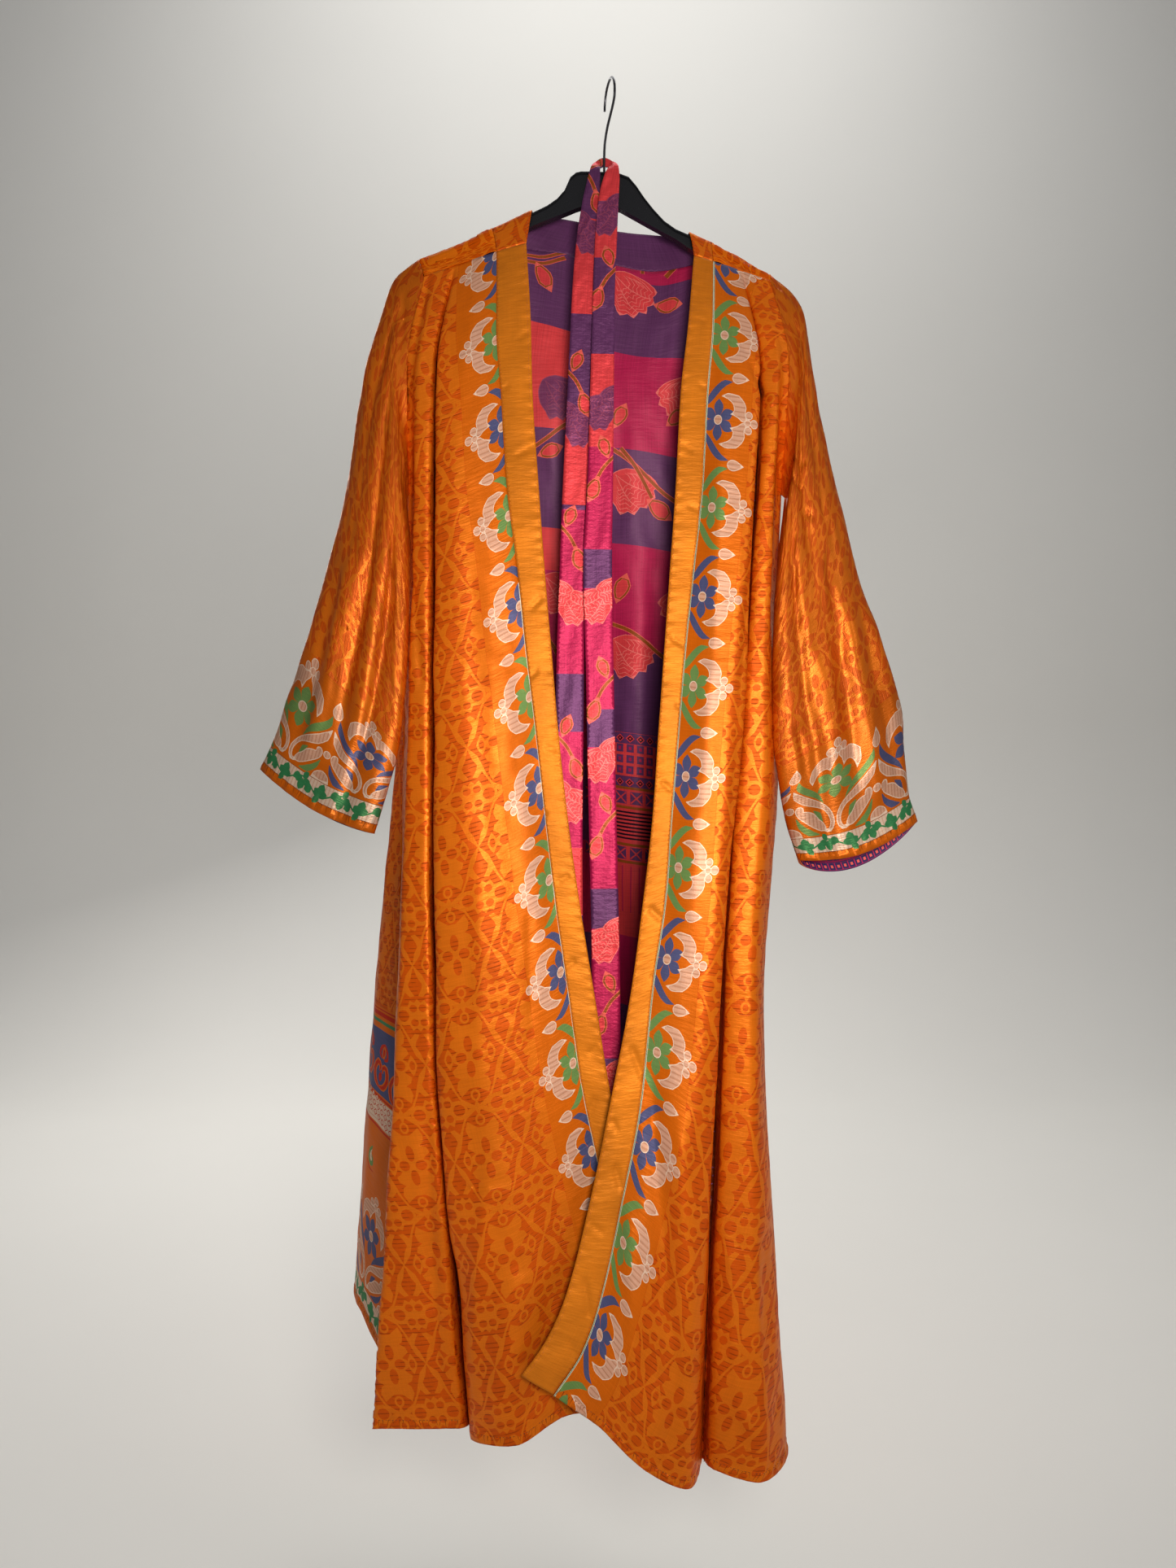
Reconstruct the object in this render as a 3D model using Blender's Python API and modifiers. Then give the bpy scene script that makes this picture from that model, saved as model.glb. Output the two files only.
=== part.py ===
"""Long silk kimono robe on a clothes hanger, with its belt slung over the hook.

Axes: +X is the viewer's right, -Y faces the viewer, +Z is up.
The origin is the inside top of the hook, where a rail bears.
Right and left are the wearer's, so the right front is on the viewer's left.
"""

from math import cos, exp, pi, radians, sin

import bmesh
import bpy
from mathutils import Vector

MM = 0.001

# Cloth
WALL = 1.1 * MM
LAYER_GAP = 0.3 * MM
SEAM_GAP = 0.8 * MM
ARMHOLE_GAP_TOP = 1.0 * MM
ARMHOLE_GAP_LOW = 4.8 * MM
BELT_WALL = 1.6 * MM
# Wall offset that keeps half a layer gap outside the surface that cloth and lining share
OUTSIDE = 1 + LAYER_GAP / WALL

# Heights that every panel shares, from the hook down
ARM_Z = -310 * MM
UNDERARM_Z = -430 * MM
KNEE_Z = -930 * MM

# Share of a panel's length at which each of those heights falls
ARM_V = 0.12
UNDERARM_V = 0.22
KNEE_V = 0.62
SHARED_ROWS = (0.12, 0.17, 0.22, 0.27, 0.33, 0.39, 0.45, 0.51, 0.57, 0.62,
               0.68, 0.74, 0.80, 0.86, 0.92, 0.97, 1.0)
FRONT_TOP_ROWS = (0.0, 0.04, 0.08)
# Columns in each gap between a front's guides, from the band seam to the side seam
FRONT_COLUMNS = (2, 2, 3, 2, 2, 3, 3, 2)

# The seam where the back, brought over the shoulder, meets the fronts
FORE_Y = -11 * MM
FORE_SLOPE = 0.335
RIGHT_FORE = (-118 * MM, -183 * MM)
LEFT_FORE = (106 * MM, -193 * MM)

# Shoulder line on top of the hanger: x, height (mm)
SHOULDER_LINE = (
    (-224, -208),
    (-208, -192),
    (-174, -179),
    (-123, -156),
    (-81, -136.5),
    (81, -159.5),
    (127, -183),
    (153, -197),
    (178, -212),
    (189, -223),
)

# Front edge and band seam: seam height, seam x, edge height, edge x, depth y (mm)
RIGHT_EDGE = (
    (-183, -118, -174, -87, -11),
    (-262, -118, -258, -82, -20),
    (-332, -113, -330, -80, -28),
    (-434, -106, -434, -73, -36),
    (-517, -95, -517, -67, -40),
    (-600, -86, -600, -60, -43),
    (-682, -76, -682, -53, -45),
    (-780, -65, -780, -42, -48),
    (-862, -55, -864, -30, -50),
    (-952, -42, -956, -15, -50),
    (-1036, -30, -1042, -1, -48),
    (-1113, -14, -1120, 17, -45),
    (-1216, 9, -1224, 40, -43),
    (-1372, 34, -1378, 65, -40),
)
LEFT_EDGE = (
    (-193, 106, -187, 86, -11),
    (-264, 104, -264, 79, -24),
    (-333, 98, -333, 71, -32),
    (-435, 92, -435, 65, -40),
    (-518, 83, -518, 59, -44),
    (-600, 74, -600, 53, -48),
    (-682, 67, -682, 47, -52),
    (-764, 60, -766, 41, -56),
    (-845, 54, -853, 31, -60),
    (-933, 41, -941, 19, -64),
    (-1053, 28, -1056, -3, -70),
    (-1140, 11, -1142, -21, -74),
    (-1243, -12, -1235, -45, -78),
    (-1290, -29, -1278, -64, -80),
    (-1332, -57, -1313, -89, -82),
)

# Lines down a front: name, x and depth y at top, arm, underarm, knee and hem, hem height (mm)
RIGHT_FRONT = (
    ("border", (-129, -132, -131, -78, -38), (-11, -30, -42, -62, -52), -1365),
    ("panel", (-142, -152, -155, -122, -94), (-11, -33, -45, -70, -66), -1389),
    ("ridge", (-156, -174, -175, -174, -138), (-11, -32, -40, -60, -42), -1396),
    ("pleat", (-163, -180, -181, -180, -172), (-11, -15, -18, -32, -8), -1400),
    ("roll_in", (-170, -187, -187, -187, -199), (-11, -26, -30, -44, -34), -1391),
    ("roll_out", (-178, -196, -200, -214, -244), (-11, -26, -27, -34, -22), -1396),
    ("tuck", (-186, -204, -203, -221, -240), (-11, -20, -10, 12, 30), -1412),
    ("side", (-193, -210, -211, -227, -246), (-11, -17, 0, 50, 68), -1368),
)
LEFT_FRONT = (
    ("border", (115, 118, 113, 75, -14), (-11, -33, -50, -75, -90), -1358),
    ("panel", (124, 135, 131, 93, 34), (-11, -35, -50, -77, -97), -1399),
    ("ridge", (132, 149, 143, 107, 72), (-11, -32, -45, -68, -88), -1420),
    ("pleat", (138, 154, 149, 112, 92), (-11, -13, -20, -38, -46), -1421),
    ("roll_in", (144, 160, 155, 118, 110), (-11, -22, -31, -50, -62), -1413),
    ("roll_out", (151, 169, 164, 139, 145), (-11, -26, -34, -56, -74), -1422),
    ("tuck", (158, 177, 171, 156, 179), (-11, -20, -10, -16, -26), -1417),
    ("side", (165, 184, 178, 158, 178), (-11, -17, 0, 40, 50), -1419),
)

# Lines down the back: name, x and y at arm, underarm, knee and hem, hem height (mm)
BACK = (
    ("right_side", (-210, -211, -227, -246), (11, 0, 50, 68), -1368),
    ("right_turn", (-199, -203, -258, -290), (17, 18, 102, 146), -1338),
    ("right_strip", (-187, -190, -264, -301), (24, 34, 136, 188), -1338),
    ("right_roll", (-172, -172, -228, -264), (29, 46, 152, 222), -1346),
    ("right_valley", (-148, -145, -182, -202), (30, 45, 124, 168), -1358),
    ("right_crest", (-112, -108, -132, -146), (35, 56, 152, 212), -1356),
    ("near_valley", (-64, -62, -76, -86), (33, 49, 128, 176), -1365),
    ("centre", (-14, -12, -18, -22), (38, 58, 158, 212), -1361),
    ("far_valley", (36, 35, 31, 28), (34, 49, 124, 172), -1369),
    ("left_crest", (82, 79, 73, 76), (35, 54, 144, 190), -1373),
    ("left_valley", (118, 113, 106, 113), (30, 42, 110, 142), -1385),
    ("left_roll", (148, 144, 140, 155), (25, 36, 106, 140), -1393),
    ("left_turn", (171, 168, 163, 181), (17, 18, 72, 96), -1406),
    ("left_side", (184, 178, 158, 178), (11, 0, 40, 50), -1419),
)

# Shoulder stretch of the back: x at the fore seam, x at the ridge, then x, y and height at the nape (mm)
BACK_SHOULDER = {
    "right_side": (-193, -199, -202, 10, -205),
    "right_turn": (-181, -188, -192, 12, -202),
    "right_strip": (-168, -175, -180, 14, -196),
    "right_roll": (-152, -158, -163, 15, -188),
    "right_valley": (-135, -141, -144, 16, -180),
    "right_crest": (-118, -123, -110, 20, -165),
    "near_valley": (0, 0, -60, 36, -164),
    "centre": (0, 0, 0, 40, -175),
    "far_valley": (0, 0, 50, 37, -184),
    "left_crest": (106, 105, 96, 20, -183),
    "left_valley": (121, 121, 122, 16, -198),
    "left_roll": (136, 137, 140, 15, -208),
    "left_turn": (151, 152, 157, 13, -217),
    "left_side": (165, 166, 171, 10, -226),
}
# Rows over the shoulder: fore seam, brow, front crown, ridge, back crown, nape
SHOULDER_ROWS = (0.0, 0.016, 0.026, 0.034, 0.042, 0.06)
RIDGE_V = 0.034
NAPE_V = 0.06
BROW_DROP = 11 * MM
BROW_Y = 8 * MM
CROWN_DROP = 1.6 * MM
CROWN_Y = 5.8 * MM
NECK_FIRST, NECK_LAST = "right_crest", "left_crest"
COLUMNS_A_GAP = 3

# Free edge of the neck band over each shoulder, a point for each shoulder row, then round the nape:
# x, y, height (mm)
NECK_EDGE_RIGHT = (
    (-87, -11, -174),
    (-83, -8, -148),
    (-81.5, -5.8, -138.5),
    (-81, 0, -136.5),
    (-80, 6, -137),
    (-73, 20, -131),
)
NECK_EDGE_BACK = (
    (-52, 36, -127),
    (-25, 41, -130),
    (3, 42, -137),
    (30, 41, -141),
    (52, 36, -145),
)
NECK_EDGE_LEFT = (
    (86, -11, -187),
    (84, -8, -171),
    (81.5, -5.8, -161.5),
    (81, 0, -159.5),
    (79, 6, -160),
    (70, 20, -153),
)

# Sleeve outer line, shoulder to cuff: x, height; the inner line: x, y, height (mm)
RIGHT_SLEEVE = {
    "outer": ((-199, -190), (-224, -209), (-239, -251), (-252, -291), (-260, -332), (-267, -383),
              (-277, -442), (-290, -493), (-304, -544), (-319, -595), (-336, -646), (-351, -689),
              (-364, -719)),
    "inner": ((-211, 0, -430), (-221, -5, -442), (-223, -12, -500), (-219, -20, -560),
              (-215, -26, -620), (-213, -32, -660), (-216, -38, -697), (-226, -40, -735),
              (-241, -38, -784)),
    "bow": 9 * MM,
    "back_drop": 4 * MM,
}
LEFT_SLEEVE = {
    "outer": ((166, -206), (189, -224), (200, -243), (205, -272), (213, -323), (226, -391),
              (243, -459), (260, -527), (277, -570), (290, -612), (302, -655), (307, -714),
              (310, -744), (319, -773)),
    "inner": ((178, 0, -430), (187, -4, -441), (187, -8, -500), (184, -12, -560),
              (182, -16, -620), (181, -20, -680), (182, -22, -722), (187, -22, -770),
              (199, -20, -812)),
    "bow": 13 * MM,
    "back_drop": 16 * MM,
}
# Half depth of a sleeve from the shoulder to the cuff (mm)
SLEEVE_DEPTH = (6, 14, 18, 20, 20, 19, 17, 15)
# Long folds in a sleeve: share round the half tube, half width, depth (mm), first and last row share
SLEEVE_FOLDS = (
    ("head", 0.20, 0.07, 4.0, 0.02, 0.45),
    ("middle", 0.46, 0.08, 5.0, 0.10, 0.80),
    ("lower", 0.72, 0.07, 5.0, 0.25, 1.00),
)
SLEEVE_AROUND = 32
SLEEVE_FLATNESS = 0.8
HEAD_EASE = 7
FOLD_RISE = 0.15
FOLD_FADE = 0.25
SLEEVE_ROWS = (0.0, 0.04, 0.09, 0.16, 0.24, 0.33, 0.43, 0.53, 0.63, 0.73, 0.82, 0.88, 0.94, 1.0)
CUFF_LINING_FROM = 0.88

# Belt, from the right end up behind the hook shank to the left end: x, y, height, half width (mm)
BELT_PATH = (
    (-41, -11, -1100, 14),
    (-42, -11, -950, 14),
    (-43, -11, -800, 14),
    (-42, -11, -630, 14.5),
    (-40, -11, -512, 13),
    (-36, -10.5, -400, 12.5),
    (-33, -10.5, -330, 12),
    (-28, -10, -226, 12),
    (-25, -9, -175, 11),
    (-20, -7.4, -128, 9),
    (-17, -7.2, -104, 6.5),
    (-15.5, -5.6, -93, 5),
    (-11.5, 2.6, -85.5, 4.5),
    (-6.5, 2.7, -83, 4.5),
    (-1.5, 2.6, -85.5, 4.5),
    (3, -7.8, -94, 5.5),
    (1.5, -10.4, -104, 8),
    (-2, -10.6, -128, 10.5),
    (-5, -12, -175, 11.5),
    (-7, -14, -226, 11.5),
    (-9, -15, -330, 12.5),
    (-11, -15.5, -430, 13.5),
    (-13.5, -16, -512, 15),
    (-11, -16, -630, 14.5),
    (-9, -16, -740, 14.5),
    (-6.5, -16, -849, 14.5),
    (-4.5, -16, -950, 14.5),
    (-3.5, -16, -1060, 14),
    (-3, -16, -1150, 14),
)
BELT_STEPS_A_POINT = 2

# Hanger: x, top and bottom height (mm), from the wearer's right tip to the left tip
HANGER = (
    (-196, -189.7, -203),
    (-174, -180.7, -198),
    (-150, -169.7, -188),
    (-123, -157.7, -175),
    (-95, -144.7, -161),
    (-81, -138.2, -153),
    (-66, -131, -147),
    (-56, -124, -143),
    (-48, -115, -140),
    (-42, -101.5, -137.5),
    (-36, -96.6, -135),
    (-31, -95.4, -133.5),
    (-22, -95.4, -132.5),
    (-7, -95.9, -132.5),
    (10, -97.7, -135),
    (19, -101.1, -140),
    (27, -110.5, -144.5),
    (35, -122.4, -149),
    (45, -135.1, -154.5),
    (56, -147, -160.5),
    (68, -155.5, -167),
    (81, -161.2, -176),
    (105, -173.2, -190),
    (127, -184.7, -201),
    (153, -199.2, -213),
    (162, -204.8, -217),
)
HANGER_HALF = 5.0 * MM
HANGER_WEB_HALF = 2.6 * MM
HANGER_FLANGE = 2.6 * MM
HANGER_CROWN_HALF = 3 * MM
HANGER_CROWN = 1.3 * MM

# Hook wire
WIRE_RADIUS = 1.3 * MM
HOOK_RADIUS = 21 * MM
HOOK_TURN = radians(13.5)
HOOK_MIDDLE_X = -0.9 * MM
HOOK_START = radians(-108)
HOOK_END = radians(92)
HOOK_STEPS = 16
# Shank from its foot on the hanger up to where the round hook starts: x, y, height (mm)
SHANK_PATH = ((-6.5, 0, -95.2), (-6.5, 0, -78), (-5.7, -0.8, -64), (-3, -6.5, -50), (1.2, -14.5, -37))

# Colours: base, roughness, metallic
ORANGE_DAMASK = ((0.78, 0.25, 0.03), 0.42, 0.0)
ORANGE_PLAIN = ((0.72, 0.27, 0.04), 0.45, 0.0)
LINING_SILK = ((0.42, 0.04, 0.14), 0.5, 0.0)
BLACK_PLASTIC = ((0.012, 0.012, 0.014), 0.3, 0.0)
STEEL = ((0.45, 0.45, 0.46), 0.3, 1.0)


def slopes(knots, values):
    """Slopes that keep a curve through the values free of overshoot."""
    secants = [(values[i + 1] - values[i]) / (knots[i + 1] - knots[i]) for i in range(len(knots) - 1)]
    inner = []
    for before, after in zip(secants, secants[1:]):
        level = before * after <= 0
        inner.append(0.0 if level else 2 * before * after / (before + after))
    return [secants[0]] + inner + [secants[-1]]


def curve_through(knots, values, at):
    """Smooth curve through values at rising knots."""
    at = min(max(at, knots[0]), knots[-1])
    i = 0
    while i < len(knots) - 2 and at > knots[i + 1]:
        i += 1
    span = knots[i + 1] - knots[i]
    t = (at - knots[i]) / span
    slope = slopes(knots, values)
    low = values[i] * (1 + 2 * t) * (1 - t) ** 2 + slope[i] * span * t * (1 - t) ** 2
    high = values[i + 1] * t * t * (3 - 2 * t) + slope[i + 1] * span * t * t * (t - 1)
    return low + high


def points_through(points, at):
    """Smooth curve through points numbered 0, 1, 2 and so on."""
    knots = list(range(len(points)))
    return Vector([curve_through(knots, [p[axis] for p in points], at) for axis in range(3)])


def columns(table, *wanted):
    """Columns of a table in metres, ordered by its first column."""
    rows = sorted(table)
    return [[row[i] * MM for row in rows] for i in wanted]


def shoulder_z(x):
    knots, heights = columns(SHOULDER_LINE, 0, 1)
    return curve_through(knots, heights, x)


def fore_z(x):
    """Height of the seam in front of the shoulder."""
    start_x, start_z = LEFT_FORE if x > 0 else RIGHT_FORE
    return start_z - FORE_SLOPE * abs(x - start_x)


def seam_point(table, z):
    heights, xs, ys = columns(table, 0, 1, 4)
    return Vector((curve_through(heights, xs, z), curve_through(heights, ys, z), z))


def edge_point(table, z):
    heights, edge_heights, xs, ys = columns(table, 0, 2, 3, 4)
    edge_z = curve_through(heights, edge_heights, z)
    return Vector((curve_through(heights, xs, z), curve_through(heights, ys, z), edge_z))


def down_guide(name, knots, points, v):
    """Point on a line down a panel; below the underarm both panels share the side seam."""
    if name.endswith("side") and v > UNDERARM_V:
        knots, points = knots[-3:], points[-3:]
    return Vector([curve_through(knots, [p[axis] for p in points], v) for axis in range(3)])


def front_guide(row, v):
    name, xs, ys, hem = row
    heights = (fore_z(xs[0] * MM), ARM_Z, UNDERARM_Z, KNEE_Z, hem * MM)
    points = [(x * MM, y * MM, z) for x, y, z in zip(xs, ys, heights)]
    return down_guide(name, (0.0, ARM_V, UNDERARM_V, KNEE_V, 1.0), points, v)


def seam_guide(table, v):
    rows = columns(table, 0)[0]
    knots = (0.0, ARM_V, UNDERARM_V, KNEE_V, 1.0)
    heights = (rows[-1], ARM_Z, UNDERARM_Z, KNEE_Z, rows[0])
    return seam_point(table, curve_through(knots, heights, v))


def front_surface(table, edge, at, v):
    guides = [seam_guide(edge, v)] + [front_guide(row, v) for row in table]
    return points_through(guides, at)


def back_guide(row, v):
    name, xs, ys, hem = row
    fore_x, ridge_x, nape_x, nape_y, nape_z = [value * MM for value in BACK_SHOULDER[name]]
    ridge_z = shoulder_z(ridge_x)
    fore = fore_z(fore_x)
    shoulder = [
        (fore_x, FORE_Y, fore),
        ((fore_x + ridge_x) / 2, -BROW_Y, ridge_z - BROW_DROP),
        (ridge_x, -CROWN_Y, ridge_z - CROWN_DROP),
        (ridge_x, 0.0, ridge_z),
        (ridge_x, CROWN_Y, ridge_z - CROWN_DROP),
        (nape_x, nape_y, nape_z),
    ]
    below = [(x * MM, y * MM, z) for x, y, z in zip(xs, ys, (ARM_Z, UNDERARM_Z, KNEE_Z, hem * MM))]
    return down_guide(name, SHOULDER_ROWS + (ARM_V, UNDERARM_V, KNEE_V, 1.0), shoulder + below, v)


def back_surface(at, v):
    return points_through([back_guide(row, v) for row in BACK], at)


def inset(grid, sides, gap):
    """Draw the named sides of a grid of points back from their seams."""
    grid = [[point.copy() for point in row] for row in grid]

    def draw(point, neighbour):
        point += (neighbour - point).normalized() * gap

    if "top" in sides:
        for point, below in zip(grid[0], grid[1]):
            draw(point, below)
    if "bottom" in sides:
        for point, above in zip(grid[-1], grid[-2]):
            draw(point, above)
    if "first" in sides:
        for row in grid:
            draw(row[0], row[1])
    if "last" in sides:
        for row in grid:
            draw(row[-1], row[-2])
    return grid


def sheet(name, grid, finish, wall=WALL, offset=0.0, turn=False, tube=False, hole=None):
    """Cloth of one wall thickness on a grid of points, rows down and columns across.

    Seen from outside the garment the columns run to the right; turn is for a grid that runs left.
    """
    rows, across = len(grid) - 1, len(grid[0]) - 1
    bm = bmesh.new()
    bmesh.ops.create_grid(bm, x_segments=across, y_segments=rows, size=1.0)
    dropped = []
    for vert in bm.verts:
        i = round((vert.co.x + 1) / 2 * across)
        i = across - i if turn else i
        j = round((1 - vert.co.y) / 2 * rows)
        if hole and hole(i, j):
            dropped.append(vert)
        vert.co = grid[j][i]
    if dropped:
        bmesh.ops.delete(bm, geom=dropped, context="VERTS")
    if tube:
        bmesh.ops.remove_doubles(bm, verts=bm.verts, dist=1e-6)
    mesh = bpy.data.meshes.new(name)
    bm.to_mesh(mesh)
    bm.free()
    mesh.shade_smooth()
    piece = add_piece(name, mesh, finish)
    solid = piece.modifiers.new("Wall", "SOLIDIFY")
    solid.thickness = wall
    solid.offset = offset
    solid.use_even_offset = True
    return piece


def add_piece(name, data, finish):
    colour, roughness, metallic = finish
    material = bpy.data.materials.new(name)
    material.use_nodes = True
    shader = material.node_tree.nodes["Principled BSDF"]
    shader.inputs["Base Color"].default_value = (*colour, 1.0)
    shader.inputs["Roughness"].default_value = roughness
    shader.inputs["Metallic"].default_value = metallic
    data.materials.append(material)
    piece = bpy.data.objects.new(name, data)
    ROBE.objects.link(piece)
    return piece


def front_rows():
    return FRONT_TOP_ROWS + SHARED_ROWS


def front_columns():
    """Columns of a front, counted in guides from the band seam."""
    return [gap + i / count for gap, count in enumerate(FRONT_COLUMNS) for i in range(count)] + [8]


def make_front(name, table, edge):
    grid = [[front_surface(table, edge, at, v) for at in front_columns()] for v in front_rows()]
    grid = inset(grid, ("top", "first", "last"), SEAM_GAP / 2)
    sheet(name, grid, ORANGE_DAMASK, offset=OUTSIDE, turn=name == "front_right")


def make_band(name, edge):
    grid = []
    for v in front_rows():
        seam = seam_guide(edge, v)
        free = edge_point(edge, seam.z)
        grid.append([free.lerp(seam, share) for share in (0.0, 0.5, 1.0)])
    grid = inset(grid, ("top", "last"), SEAM_GAP / 2)
    sheet(name, grid, ORANGE_PLAIN, offset=OUTSIDE, turn=name == "band_right")


def back_columns():
    return [i / COLUMNS_A_GAP for i in range((len(BACK) - 1) * COLUMNS_A_GAP + 1)]


def back_index(name):
    return [row[0] for row in BACK].index(name)


def make_back():
    rows = SHOULDER_ROWS + SHARED_ROWS
    grid = [[back_surface(at, v) for at in back_columns()] for v in rows]
    grid = inset(grid, ("top", "first", "last"), SEAM_GAP / 2)
    nape = rows.index(NAPE_V)
    first = back_index(NECK_FIRST) * COLUMNS_A_GAP
    last = back_index(NECK_LAST) * COLUMNS_A_GAP
    for i in range(first + 1, last):
        grid[nape][i] += (grid[nape + 1][i] - grid[nape][i]).normalized() * SEAM_GAP
    for j in range(nape):
        grid[j][first] += (grid[j][first - 1] - grid[j][first]).normalized() * SEAM_GAP
        grid[j][last] += (grid[j][last + 1] - grid[j][last]).normalized() * SEAM_GAP

    def in_neck(i, j):
        return first < i < last and j < nape

    sheet("back", grid, ORANGE_DAMASK, offset=OUTSIDE, turn=True, hole=in_neck)


def make_back_lining():
    first, last = back_index("right_valley"), back_index("left_valley")
    stops = [at for at in back_columns() if first <= at <= last]
    rows = [v for v in SHARED_ROWS if v <= 0.92]
    grid = [[back_surface(at, v) for at in stops] for v in [NAPE_V] + rows]
    grid = inset(grid, ("top",), SEAM_GAP)
    sheet("back_lining", grid, LINING_SILK, offset=-OUTSIDE, turn=True)


def neck_seam():
    """Border of the back that carries the neck band, from the right front round to the left."""
    first, last = back_index(NECK_FIRST), back_index(NECK_LAST)
    up = [back_surface(first, v) for v in SHOULDER_ROWS]
    along = [back_surface(at, NAPE_V) for at in back_columns() if first < at < last]
    down = [back_surface(last, v) for v in reversed(SHOULDER_ROWS)]
    return up + along + down


def neck_edge(behind):
    """Free edge of the neck band, with as many points behind the neck as its seam has."""
    right = [Vector(p) * MM for p in NECK_EDGE_RIGHT]
    left = [Vector(p) * MM for p in reversed(NECK_EDGE_LEFT)]
    nape = right[-1:] + [Vector(p) * MM for p in NECK_EDGE_BACK] + left[:1]
    spans = len(nape) - 1
    return right + [points_through(nape, spans * i / (behind + 1)) for i in range(1, behind + 1)] + left


def make_neck_band():
    seam = neck_seam()
    edge = neck_edge(len(seam) - 2 * len(SHOULDER_ROWS))
    grid = [[free, free.lerp(point, 0.5), point] for free, point in zip(edge, seam)]
    grid = inset(grid, ("top", "bottom", "last"), SEAM_GAP / 2)
    sheet("neck_band", grid, ORANGE_DAMASK, offset=OUTSIDE)


def armhole(side):
    """Armhole seam from the shoulder ridge: down the front, then down the back."""
    if side == "right":
        table, edge, at = RIGHT_FRONT, RIGHT_EDGE, 0
    else:
        table, edge, at = LEFT_FRONT, LEFT_EDGE, len(BACK) - 1
    over = [back_surface(at, v) for v in SHOULDER_ROWS if v <= RIDGE_V]
    down = [front_surface(table, edge, len(table), v) for v in front_rows() if 0 < v <= UNDERARM_V]
    behind = [back_surface(at, v) for v in SHOULDER_ROWS + SHARED_ROWS if RIDGE_V <= v <= UNDERARM_V]
    return list(reversed(over)) + down, behind


def along_line(points, share):
    """Point at a share of the length of a broken line."""
    lengths = [(b - a).length for a, b in zip(points, points[1:])]
    left = share * sum(lengths)
    for a, b, length in zip(points, points[1:], lengths):
        if left <= length:
            return a.lerp(b, left / length)
        left -= length
    return points[-1].copy()


def sleeve_fold(t, v):
    depth = 0.0
    for _, centre, half, size, begin, end in SLEEVE_FOLDS:
        if begin < v <= end:
            rise = min(1.0, (v - begin) / FOLD_RISE)
            fade = 1.0 if end == 1.0 else min(1.0, (end - v) / FOLD_FADE)
            depth += size * MM * rise * fade * exp(-((t - centre) / half) ** 2)
    return depth


def sleeve_frame(table, s, v):
    """Sleeve before its head is eased into the armhole."""
    outer = [Vector((x, 0, z)) * MM for x, z in table["outer"]]
    inner = [Vector(p) * MM for p in table["inner"]]
    top = points_through(outer, v * (len(outer) - 1))
    low = points_through(inner, v * (len(inner) - 1))
    front = s <= 0.5
    t = 2 * s if front else 2 * (1 - s)
    share = (1 - cos(pi * t)) / 2
    knots = [i / (len(SLEEVE_DEPTH) - 1) for i in range(len(SLEEVE_DEPTH))]
    depth = curve_through(knots, SLEEVE_DEPTH, v) * MM * sin(pi * t) ** SLEEVE_FLATNESS
    point = top.lerp(low, share)
    if front:
        point.y -= depth - sleeve_fold(share, v)
    else:
        point.y += depth
        point.z -= table["back_drop"] * sin(pi * t) * v ** 4
    point.z -= table["bow"] * sin(pi * share) * v ** 3
    return point


def sleeve_surface(table, holes, s, v):
    front, behind = holes
    t = 2 * s if s <= 0.5 else 2 * (1 - s)
    seam = along_line(front if s <= 0.5 else behind, (1 - cos(pi * t)) / 2)
    ease = (1 - v) ** HEAD_EASE
    return sleeve_frame(table, s, v) + (seam - sleeve_frame(table, s, 0.0)) * ease


def make_sleeve(side, table):
    holes = armhole(side)
    around = [i / SLEEVE_AROUND for i in range(SLEEVE_AROUND)] + [0.0]
    if side == "left":
        around.reverse()
    grid = [[sleeve_surface(table, holes, s, v) for s in around] for v in SLEEVE_ROWS]
    lining = [row for row, v in zip(grid, SLEEVE_ROWS) if v >= CUFF_LINING_FROM]
    head = []
    for s, point, below in zip(around, grid[0], grid[1]):
        gap = ARMHOLE_GAP_TOP + (ARMHOLE_GAP_LOW - ARMHOLE_GAP_TOP) * (1 - cos(2 * pi * s)) / 2
        head.append(point + (below - point).normalized() * gap)
    grid[0] = head
    sheet(f"sleeve_{side}", grid, ORANGE_DAMASK, offset=OUTSIDE, tube=True)
    sheet(f"cuff_lining_{side}", lining, LINING_SILK, offset=-OUTSIDE, tube=True)


def make_belt():
    points = [Vector(p[:3]) * MM for p in BELT_PATH]
    halves = [p[3] * MM for p in BELT_PATH]
    steps = (len(points) - 1) * BELT_STEPS_A_POINT
    grid = []
    for i in range(steps + 1):
        at = i / BELT_STEPS_A_POINT
        here = points_through(points, at)
        ahead = points_through(points, at + 0.1) - points_through(points, at - 0.1)
        across = Vector((ahead.z, 0.0, -ahead.x)).normalized()
        half = curve_through(list(range(len(halves))), halves, at)
        grid.append([here - across * half, here, here + across * half])
    sheet("belt", grid, LINING_SILK, wall=BELT_WALL)


def hanger_section(x, top, bottom):
    """Upright section of the hanger: two flanges and a thinner web."""
    web_top, web_bottom = top - HANGER_FLANGE, bottom + HANGER_FLANGE
    side = [(HANGER_CROWN_HALF, top), (HANGER_HALF, top - HANGER_CROWN), (HANGER_HALF, web_top),
            (HANGER_WEB_HALF, web_top - MM), (HANGER_WEB_HALF, web_bottom + MM),
            (HANGER_HALF, web_bottom), (HANGER_HALF, bottom)]
    loop = side + [(-y, z) for y, z in reversed(side)]
    return [Vector((x, y, z)) for y, z in loop]


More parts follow.
